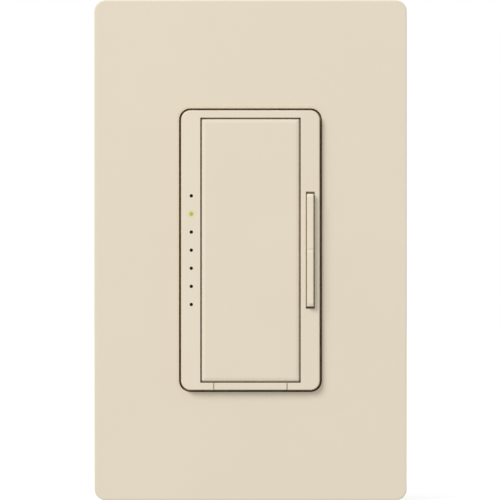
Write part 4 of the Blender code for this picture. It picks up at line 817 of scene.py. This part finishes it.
def bezel_boxes(ahead, behind):
    """The boxes cut out of the bezel. Their ends lie ahead of its front and behind its back."""
    window = around(0, WINDOW_HALF_HEIGHT)
    boxes = [(around(0, WINDOW_HALF_WIDTH), (ahead, behind), window)]
    boxes += [(x, (CAVITY_FRONT, behind), window) for x in both(CAVITY_INNER, CAVITY_OUTER)]
    slot = around(ROCKER_X, SLOT_HALF_WIDTH)
    slot_end = ROCKER_HIGH.z + SLOT_END_GAP
    shelf = BEZEL_FRONT + SLOT_SHELF_DEPTH
    boxes.append((slot, (ahead, CAVITY_FRONT + PAST), around(0, slot_end - SLOT_SHELF_LENGTH)))
    boxes.append((slot, (ahead, shelf), around(0, slot_end)))
    for pivot, room, across in pin_rooms():
        boxes.append((across, (pivot.y, behind), around(pivot.z, room)))
    room = PLUNGER_HIGH.x - ROCKER_X + SEAT_GAP
    depth = (PLUNGER_LOW.y - PLUNGER_STROKE - SEAT_GAP, behind)
    boxes += [(around(ROCKER_X, room), depth, around(z, room)) for z in ROCKER_SWITCHES]
    bay_top = BITE - WINDOW_HALF_HEIGHT
    bay = (-BEZEL_HALF_HEIGHT - PAST, bay_top)
    boxes.append((around(0, BAY_SHELF_HALF_WIDTH), (ahead, BEZEL_FRONT + BAY_SHELF_DEPTH), bay))
    boxes.append((around(0, BAY_HALF_WIDTH), (ahead, TAB_BACK + SEAT_GAP), bay))
    way = (-BEZEL_HALF_HEIGHT - ARM_RELIEF, bay_top)
    boxes.append((around(0, ARM_HALF_WIDTH + SEAT_GAP), (TAB_BACK, behind), way))
    return boxes


def bezel_steps(ahead):
    """The round holes, the pivots' rooms and the snap legs."""
    steps = []
    hole = [(LIGHT_HOLE_RADIUS, ahead), (LIGHT_HOLE_RADIUS, CAVITY_FRONT + PAST)]
    for z in LIGHT_HEIGHTS:
        steps.append(cut(turned, hole, "Y", (LIGHT_X, 0, z)))
    for pivot, room, across in pin_rooms():
        profile = [(room, end) for end in across]
        steps.append(cut(turned, profile, "X", (0, pivot.y, pivot.z)))
    leg_y = (BEZEL_BACK - BITE, BEZEL_HIGH.y)
    hook_y = (BEZEL_HIGH.y - HOOK_HEIGHT, BEZEL_HIGH.y)
    sides = zip(both(CAVITY_OUTER, BEZEL_HALF_WIDTH), both(CAVITY_OUTER, BEZEL_HIGH.x))
    for leg_x, hook_x in sides:
        for z in (LEG_HEIGHT, -LEG_HEIGHT):
            width = around(z, LEG_WIDTH / 2)
            steps.append(added(block, leg_x, leg_y, width, edge=0))
            steps.append(added(block, hook_x, hook_y, width, edge=0))
    return steps


def make_bezel():
    bezel = solid("bezel_frame", draw_bezel)
    ahead = BEZEL_FRONT - PAST
    hollow(bezel, *bezel_boxes(ahead, BEZEL_BACK + PAST))
    bake(bezel, *bezel_steps(ahead))

    def at_front(point):
        return point.y < BEZEL_FRONT + FACE_ZONE

    def at_hole(point):
        near = min(abs(point.z - z) for z in LIGHT_HEIGHTS)
        return abs(point.x - LIGHT_X) < HOLE_ZONE and near < HOLE_ZONE

    soften(bezel, lambda p: at_front(p) and at_hole(p), HOLE_SOFTENING)
    soften(bezel, lambda p: at_front(p) and not at_hole(p), SLOT_SOFTENING)
    # Its finish has the lit light's glow painted into its colour
    dress(bezel, "almond_plastic", "bezel", finish="almond_painted_glow")


# Paddle

def draw_paddle(shape):
    """A tray with a narrow skirt round its back half, drawn from its inside to its face."""
    size = (PADDLE_WIDTH, PADDLE_HEIGHT, PADDLE_CORNER)
    inside = (*grown(size, -PADDLE_WALL)[:2], PADDLE_INSIDE_CORNER)
    skirt = (*grown(size, SKIRT_REACH)[:2], SKIRT_CORNER)
    skirt_front = BEZEL_FRONT + SKIRT_DEPTH
    outlines = [(inside, PADDLE_INSIDE), (inside, PADDLE_BACK)]
    outlines += [(skirt, PADDLE_BACK), (skirt, skirt_front), (size, skirt_front)]
    for inset, drop in arc(**PADDLE_EDGE):
        outlines.append((grown(size, -inset), BEZEL_FRONT + drop))
    loft(shape, [ring(*outline, y, SMALL_CORNER_STEPS) for outline, y in outlines])


def make_paddle():
    paddle = solid("tap_button", draw_paddle)
    root = PADDLE_INSIDE - BITE
    rib_x = around(0, PADDLE_WIDTH / 2 - PADDLE_WALL + BITE)
    rib_y = (root, PADDLE_BACK - BITE)
    above_spring = SPRING_Z + SPRING_RADIUS + SPRING_WIRE_RADIUS + RIB_CLEARANCE
    above_switch = (PADDLE_SWITCH_Z + PADDLE_PIVOT.z) / 2
    steps = []
    for z in (above_spring, above_switch):
        steps.append(added(block, rib_x, rib_y, (z, z + RIB_WALL)))
    post = peg(POST_RADIUS, root, PADDLE_HIGH.y, POST_CHAMFER)
    steps.append(added(turned, post, "Y", (0, 0, PADDLE_SWITCH_Z)))
    stub = peg(STUB_RADIUS, root, PADDLE_INSIDE + STUB_LENGTH, POST_CHAMFER)
    steps.append(added(turned, stub, "Y", (0, 0, SPRING_Z)))
    pin = peg(PADDLE_PIN_RADIUS, PADDLE_WIDTH / 2 - BITE, PADDLE_HIGH.x, PADDLE_PIN_CHAMFER)
    for side in (1, -1):
        profile = [(radius, side * reach) for radius, reach in pin]
        steps.append(added(turned, profile, "X", PADDLE_PIVOT))
    bake(paddle, *steps)
    dress(paddle, "almond_plastic", "tap_paddle", body="paddle")


# Rocker

def draw_rocker(shape):
    """A bar with sloped ends and a shallow dip in its middle, on a wider base, from end to end."""
    end = ROCKER_HIGH.z - ROCKER_TRIM
    base_front = BEZEL_FRONT + ROCKER_BASE_DEPTH
    stations = [(end - inset, drop) for inset, drop in arc(**ROCKER_END_EDGE)]
    for step in range(DIP_STEPS + 1):
        share = 1 - step / DIP_STEPS
        stations.append((DIP_REACH * share, DIP_DEPTH / 2 * (1 + math.cos(math.pi * share))))
    stations += [(-z, drop) for z, drop in stations[-2::-1]]
    rings = []
    for z, drop in stations:
        side = [(ROCKER_BASE_HALF_WIDTH, ROCKER_BACK), (ROCKER_BASE_HALF_WIDTH, base_front)]
        side.append((ROCKER_HALF_WIDTH, base_front))
        for inset, fall in arc(**ROCKER_EDGE):
            side.append((ROCKER_HALF_WIDTH - inset, ROCKER_LOW.y + drop + fall))
        points = side + [(-x, y) for x, y in side[::-1]]
        rings.append([(ROCKER_X + x, y, z) for x, y in points])
    loft(shape, rings)


def make_rocker():
    rocker = solid("raise_lower_bar", draw_rocker)
    chamfer = ROCKER_PIN_CHAMFER
    pin = peg(ROCKER_PIN_RADIUS, ROCKER_LOW.x + chamfer, ROCKER_HIGH.x, chamfer)
    pin.insert(0, (ROCKER_PIN_RADIUS - chamfer, ROCKER_LOW.x))
    steps = [added(turned, pin, "X", (0, ROCKER_PIVOT.y, ROCKER_PIVOT.z))]
    leg_x = around(ROCKER_X, ROCKER_LEG_HALF_WIDTH)
    leg_y = (ROCKER_BACK - BITE, ROCKER_HIGH.y)
    for z in ROCKER_SWITCHES:
        leg = (leg_x, leg_y, around(z, ROCKER_LEG_LENGTH / 2))
        steps.append(added(block, *leg, edge=ROCKER_LEG_ROUND))
    bake(rocker, *steps)
    looks = {"finish": "almond_rocker", "sharp": ROCKER_SHARP}
    dress(rocker, "almond_plastic", "dimming_rocker", body="rocker", **looks)


# Service switch

def draw_service_tab(shape):
    """A bar with rounded front edges and slightly smaller ends, from end to end."""
    top, bottom = TAB_HIGH.z, TAB_LOW.z
    profile = [(TAB_BACK, top), (TAB_BACK, bottom)]
    profile += [(BEZEL_FRONT + drop, bottom + inset) for inset, drop in arc(**TAB_EDGE)]
    profile += [(BEZEL_FRONT + drop, top - inset) for inset, drop in arc(**TAB_TOP_EDGE)[::-1]]
    middle_y = (BEZEL_FRONT + TAB_BACK) / 2
    middle_z = (top + bottom) / 2
    end = TAB_HIGH.x - TAB_TRIM
    shoulder = end - TAB_END_CHAMFER
    rings = []
    for x in (-end, -shoulder, shoulder, end):
        inset = abs(x) - shoulder
        points = []
        for y, z in profile:
            y += math.copysign(inset, middle_y - y)
            z += math.copysign(inset, middle_z - z)
            points.append((x, y, z))
        rings.append(points)
    loft(shape, rings)


def make_service_tab():
    tab = solid("service_tab", draw_service_tab)
    bottom = TAB_LOW.z + ARM_INSET
    arm_y = (TAB_BACK - BITE, TAB_HIGH.y)
    arm = (around(0, ARM_HALF_WIDTH), arm_y, (bottom, bottom + ARM_THICKNESS))
    bake(tab, added(block, *arm, edge=ARM_ROUND))
    dress(tab, "almond_plastic", "service_switch_tab", body="service_switch")


# Level lights

def draw_tips(shape, heights, radius, recess):
    """Domed tips that start a little behind the bezel's face."""
    start = BEZEL_FRONT + crown(LIGHT_X) + recess
    dome = [(radius * share, start + distance) for share, distance in TIP_DOME]
    for z in heights:
        turned(shape, dome, "Y", (LIGHT_X, 0, z), TIP_SIDES)


def draw_light_guide(shape):
    """The tips that aren't lit, the rail behind them, a rod to each light and the rail's feet."""
    draw_tips(shape, [z for z in LIGHT_HEIGHTS if z != LIT_HEIGHT], **TIP)
    rail_front = CAVITY_FRONT + SEAT_GAP
    rail_back = rail_front + RAIL_DEPTH
    rail = (around(LIGHT_X, RAIL_HALF_WIDTH), (rail_front, rail_back), (PIPE_LOW.z, PIPE_HIGH.z))
    block(shape, *rail, edge=RAIL_ROUND)
    root = rail_back - RAIL_OVERLAP
    rod = [(ROD_RADIUS, root), (ROD_RADIUS, PIPE_HIGH.y)]
    for z in LIGHT_HEIGHTS:
        turned(shape, rod, "Y", (LIGHT_X, 0, z), ROD_SIDES)
    for z in ((PIPE_LOW.z, PIPE_LOW.z + FOOT_LENGTH), (PIPE_HIGH.z - FOOT_LENGTH, PIPE_HIGH.z)):
        block(shape, around(LIGHT_X, FOOT_HALF_WIDTH), (root, BEZEL_BACK), z)


def make_lights():
    guide = solid("light_guide", draw_light_guide)
    dress(guide, "clear_plastic", "light_pipe")
    lamp = solid("lit_light_tip", draw_tips, [LIT_HEIGHT], **LIT_TIP)
    dress(lamp, "lit_light")


# Screws

def draw_head(shape, radius, height):
    outline = [(radius * out, height * along) for out, along in HEAD_OUTLINE]
    turned(shape, outline, "Y", (0, 0, 0), HEAD_SIDES)


def draw_thread(shape, kind, start, end):
    """A shank along Y with a screw thread and a blunt point. Each side climbs one row."""
    depth = THREAD_DEPTH_SHARE * kind.radius
    rows = math.ceil(round((end - start) / kind.pitch * kind.sides, 3))
    rings = []
    for row in range(rows):
        y = start + kind.pitch * row / kind.sides
        most = min(kind.radius, kind.radius * POINT_SHARE + (end - y) * POINT_SLOPE)
        if row == rows - 1:
            y = end
        points = []
        for side, (cosine, sine) in enumerate(circle(kind.sides)):
            wave = abs((row - side) % kind.sides / kind.sides * 2 - 1)
            groove = min(max(wave * THREAD_STEEPNESS - THREAD_LAND, 0), 1)
            reach = min(most, kind.radius - depth * groove)
            points.append((reach * sine, y, reach * cosine))
        rings.append(points)
    loft(shape, rings)


def make_screw(name, node_name, kind, towards):
    """A pan-head screw in the place of a node. towards is the way its point looks."""
    low, high = corners(node_name)
    axis = max(range(3), key=lambda i: abs(towards[i]))
    across = (axis + 1) % 3
    radius = (high[across] - low[across]) / 2
    head = solid(name, draw_head, radius, kind.head)
    width = around(0, SLOT_WIDTH_SHARE * radius / 2)
    depth = SLOT_DEPTH_SHARE * kind.head
    reach = around(0, CROSS_REACH_SHARE * radius)
    cross = (-PAST, depth * CROSS_DEPTH_SHARE)
    slot = (around(0, radius + PAST), (-PAST, depth), width)
    hollow(head, slot, (reach, cross, width), (width, cross, reach))
    shape = bmesh.new()
    shape.from_mesh(head.data)
    draw_thread(shape, kind, kind.head - HEAD_OVERLAP, high[axis] - low[axis])
    turn = Vector((0, 1, 0)).rotation_difference(Vector(towards)).to_matrix().to_4x4()
    place = list(centre(node_name))
    place[axis] = (low if towards[axis] > 0 else high)[axis]
    bmesh.ops.transform(shape, matrix=Matrix.Translation(place) @ turn, verts=shape.verts)
    shape.to_mesh(head.data)
    shape.free()
    dress(head, kind.slot, node_name)


def make_screws():
    back, forward = (0, 1, 0), (0, -1, 0)
    for word in ("upper", "lower"):
        make_screw("device_bolt_" + word, "device_screw_" + word, DEVICE_SCREW, back)
        make_screw("plate_bolt_" + word, "adapter_screw_" + word, PLATE_SCREW, back)
    make_screw("ground_bolt", "ground_screw", GROUND_SCREW, forward)
    for number, _ in enumerate(HOUSING_SCREWS, 1):
        make_screw(f"housing_bolt_{number}", f"housing_screw_{number}", HOUSING_SCREW, forward)
    for number, place in enumerate(TERMINALS, 1):
        inward = (-math.copysign(1, place.x), 0, 0)
        make_screw(f"terminal_bolt_{number}", f"terminal_screw_{number}", TERMINAL_SCREW, inward)


# Back housing

def draw_housing(shape):
    groove = grown(HOUSING_SIZE, -GROOVE_DEPTH)
    groove_start = HOUSING_LOW.y + GROOVE_FROM_RIM
    floor_start = groove_start + GROOVE_SLOPE
    floor_end = floor_start + GROOVE_WIDTH
    rings = [ring(*grown(HOUSING_SIZE, -RIM_ROUND), HOUSING_LOW.y)]
    rings += [ring(*HOUSING_SIZE, HOUSING_LOW.y + RIM_ROUND), ring(*HOUSING_SIZE, groove_start)]
    rings += [ring(*groove, floor_start), ring(*groove, floor_end)]
    rings.append(ring(*HOUSING_SIZE, floor_end + GROOVE_SLOPE))
    for inset, drop in arc(**HOUSING_EDGE):
        rings.append(ring(*grown(HOUSING_SIZE, -inset), HOUSING_BACK - drop))
    loft(shape, rings)


def draw_sunk(shape, floor, top, depth, up, steps):
    """A cutter for a shallow shape in the housing's back, at a height above its middle."""
    rings = [ring(*floor, HOUSING_BACK - depth, steps), ring(*top, HOUSING_BACK + BACK_PAST, steps)]
    loft(shape, [[(x, y, z + up) for x, y, z in points] for points in rings])


def mouth(radius, chamfer):
    """The end of a round cutter's profile that chamfers its hole's rim in the housing's back."""
    end = HOUSING_BACK + SINK_PAST
    wide = radius + chamfer
    return [(radius, end - chamfer), (wide, end), (wide, HOUSING_BACK + BACK_PAST)]


def draw_inside(shape):
    inside = grown(HOUSING_SIZE, -HOUSING_WALL)
    depths = (HOUSING_LOW.y - PAST, HOUSING_FLOOR)
    loft(shape, [ring(*inside, y, SMALL_CORNER_STEPS) for y in depths])


def screw_post_steps():
    """Each post with the wider well behind it, then the rib at the contacts, then the holes."""
    steps = []
    well_front = BOARD_BACK + SEAT_GAP
    post = [(SCREW_POST_RADIUS, HOUSING_LOW.y), (SCREW_POST_RADIUS, well_front + BITE)]
    well = [(SCREW_WELL_RADIUS, well_front), (SCREW_WELL_RADIUS, HOUSING_FLOOR + BITE)]
    places = [(screw.x, 0, screw.z) for screw in HOUSING_SCREWS]
    for place in places:
        steps.append(added(turned, post, "Y", place))
        steps.append(added(turned, well, "Y", place))
    rib_x = around(0, CONTACT_HIGH.x + (CONTACT_HIGH.x - CONTACT_LOW.x) / 2)
    rib_front = CONTACT_HIGH.y + SEAT_GAP
    rib_bottom = HOUSING_LOW.z + HOUSING_WALL - BITE
    rib_y = (rib_front, rib_front + CONTACT_RIB_WALL)
    rib = (rib_x, rib_y, (rib_bottom, CONTACT_HIGH.z - SEAT_GAP))
    steps.append(added(block, *rib))
    head_front = HOUSING_SCREW_END - HOUSING_SCREW.head - CONTACT_GAP
    sink = [(SCREW_HOLE_RADIUS, HOUSING_LOW.y - PAST), (SCREW_HOLE_RADIUS, head_front)]
    sink += [(HEAD_ROOM_RADIUS, head_front), *mouth(HEAD_ROOM_RADIUS, HEAD_ROOM_CHAMFER)]
    steps += [cut(turned, sink, "Y", place) for place in places]
    return steps


def terminal_steps():
    """A window in the side for each terminal's screw, and two wire holes in the back beside it."""
    steps = []
    half = TERMINAL_HEAD_RADIUS + TERMINAL_WINDOW_GAP
    hole = [(WIRE_HOLE_RADIUS, HOUSING_FLOOR - PAST), *mouth(WIRE_HOLE_RADIUS, WIRE_HOLE_CHAMFER)]
    for terminal in TERMINALS:
        side = math.copysign(1, terminal.x)
        wall = sorted((terminal.x, side * (HOUSING_HIGH.x + PAST)))
        window = (wall, around(terminal.y, half), around(terminal.z, half))
        steps.append(cut(block, *window, edge=TERMINAL_WINDOW_ROUND))
        wire_x = side * (HOUSING_HIGH.x - HOUSING_WALL - TERMINAL_HEAD_RADIUS)
        for z in (terminal.z + WIRE_HOLE_SPREAD, terminal.z - WIRE_HOLE_SPREAD):
            steps.append(cut(turned, hole, "Y", (wire_x, 0, z)))
    return steps


def make_housing():
    housing = solid("rear_case", draw_housing)
    steps = [cut(draw_inside)]
    steps += [cut(draw_sunk, **kind) for kind in (PANEL, GAUGE)]
    bake(housing, *steps, *screw_post_steps(), *terminal_steps())

    def at_window(point):
        from_side, from_terminal = TERMINAL_ZONE
        near = abs(point.y - TERMINALS[0].y) < from_terminal
        return near and abs(point.x) > HOUSING_HIGH.x - from_side

    soften(housing, at_window, TERMINAL_WINDOW_SOFTENING)
    dress(housing, "black_plastic", "back_housing")


# Spring

def draw_spring(shape):
    start = SPRING_LOW.y + SPRING_WIRE_RADIUS
    end = SPRING_HIGH.y - SPRING_WIRE_RADIUS
    along = Vector((0, 1, 0))
    count = SPRING_TURNS * SPRING_POINTS_A_TURN
    rings = []
    for step in range(count + 1):
        share = step / count
        angle = 2 * math.pi * SPRING_TURNS * share
        out = Vector((math.cos(angle), 0, math.sin(angle)))
        middle = out * SPRING_RADIUS + Vector((0, start + (end - start) * share, SPRING_Z))
        away = [cosine * out + sine * along for cosine, sine in circle(SPRING_WIRE_SIDES)]
        rings.append([middle + SPRING_WIRE_RADIUS * direction for direction in away])
    loft(shape, rings)


def make_spring():
    spring = solid("return_spring", draw_spring)
    dress(spring, "zinc_steel", "paddle_spring")
    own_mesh(spring)


# Solids that stay: small rounded edges and their slot's finish

def smooth_group():
    """A node group that shades smooth and keeps the steeper edges sharp."""
    group = bpy.data.node_groups.new("smooth_by_angle", "GeometryNodeTree")
    for way in ("INPUT", "OUTPUT"):
        group.interface.new_socket("Geometry", in_out=way, socket_type="NodeSocketGeometry")
    add, link = group.nodes.new, group.links.new
    start = add("NodeGroupInput")
    end = add("NodeGroupOutput")
    angle = add("GeometryNodeInputMeshEdgeAngle")
    above = add("FunctionNodeCompare")
    above.operation = "GREATER_THAN"
    above.inputs[1].default_value = KEPT_SMOOTH_BELOW
    smooth = add("GeometryNodeSetShadeSmooth")
    sharp = add("GeometryNodeSetShadeSmooth")
    sharp.domain = "EDGE"
    sharp.inputs["Shade Smooth"].default_value = False
    link(start.outputs[0], smooth.inputs["Geometry"])
    link(angle.outputs["Unsigned Angle"], above.inputs[0])
    link(smooth.outputs["Geometry"], sharp.inputs["Geometry"])
    link(above.outputs["Result"], sharp.inputs["Selection"])
    link(sharp.outputs["Geometry"], end.inputs[0])
    return group


def dress_solids():
    group = smooth_group()
    rounding = {"width": KEPT_ROUND * MM, "segments": EDGE_STEPS, "limit_method": "ANGLE"}
    for subpart in frame["record"]["subparts"]:
        kept = frame["nodes"][subpart["node"]]
        if kept.hide_render:
            continue
        kept.data.materials.clear()
        kept.data.materials.append(FINISH[subpart["material_slot"]])
        modify(kept, "WELD", merge_threshold=KEPT_MERGE)
        modify(kept, "DECIMATE", decimate_type="DISSOLVE", angle_limit=KEPT_FLAT_WITHIN)
        modify(kept, "BEVEL", angle_limit=KEPT_ROUNDED_ABOVE, **rounding)
        modify(kept, "NODES", node_group=group)
        modify(kept, "WEIGHTED_NORMAL", keep_sharp=True)


# Stage

def make_world():
    """Soft white light from all sides, before a background that the camera sees as plain white."""
    world = bpy.data.worlds.new("studio")
    world.use_nodes = True
    scene.world = world
    tree = world.node_tree
    tree.nodes.clear()
    fill = node(tree, "Background", {"Color": (1, 1, 1, 1), "Strength": FILL_STRENGTH})
    white = node(tree, "Background", {"Color": (1, 1, 1, 1), "Strength": 1.0})
    seen = node(tree, "LightPath").outputs["Is Camera Ray"]
    mix = node(tree, "MixShader", {"Fac": seen, 1: fill.outputs[0], 2: white.outputs[0]})
    node(tree, "OutputWorld", {"Surface": mix.outputs[0]})


def make_key():
    """The key light, from the upper left."""
    key = bpy.data.lights.new("key", "AREA")
    key.shape = "DISK"
    key.size = KEY_SIZE
    key.energy = KEY_ENERGY
    lamp = placed("key", key)
    lamp.location = Vector(KEY_DIRECTION).normalized() * KEY_DISTANCE
    lamp.rotation_euler = lamp.location.to_track_quat("Z", "Y").to_euler()


def make_floor():
    shape = bmesh.new()
    bmesh.ops.create_circle(shape, cap_ends=True, radius=FLOOR_RADIUS, segments=FLOOR_SIDES)
    bmesh.ops.translate(shape, vec=(0, 0, cad_box[0].z - FLOOR_DROP), verts=shape.verts)
    floor = settle("floor", shape)
    pale = surface(
        "pale_floor", tones((0.80, 0.80, 0.80), 0.01), rough=(0.8, 0.9), grain=4,
        relief=(300, 0.02, 100), Emission_Color=(1, 1, 1, 1), Emission_Strength=FLOOR_GLOW,
    )
    floor.data.materials.append(pale)
    floor.visible_diffuse = False
    floor.visible_glossy = False


def make_camera():
    """A far camera straight in front. The plate fills its picture from top to bottom."""
    camera = bpy.data.cameras.new("camera")
    camera.lens = camera.sensor_width * CAMERA_DISTANCE / (PLATE_SIZE[1] * MM)
    eye = placed("camera", camera)
    eye.location = (CAMERA_ASIDE, PLATE_FRONT * MM - CAMERA_DISTANCE, CAMERA_RAISED)
    eye.rotation_euler = (math.pi / 2, 0, 0)
    scene.camera = eye
    scene.view_settings.view_transform = "Standard"


make_wallplate()
make_bezel()
make_paddle()
make_rocker()
make_service_tab()
make_lights()
make_screws()
make_housing()
make_spring()
dress_solids()
make_world()
make_key()
make_floor()
make_camera()
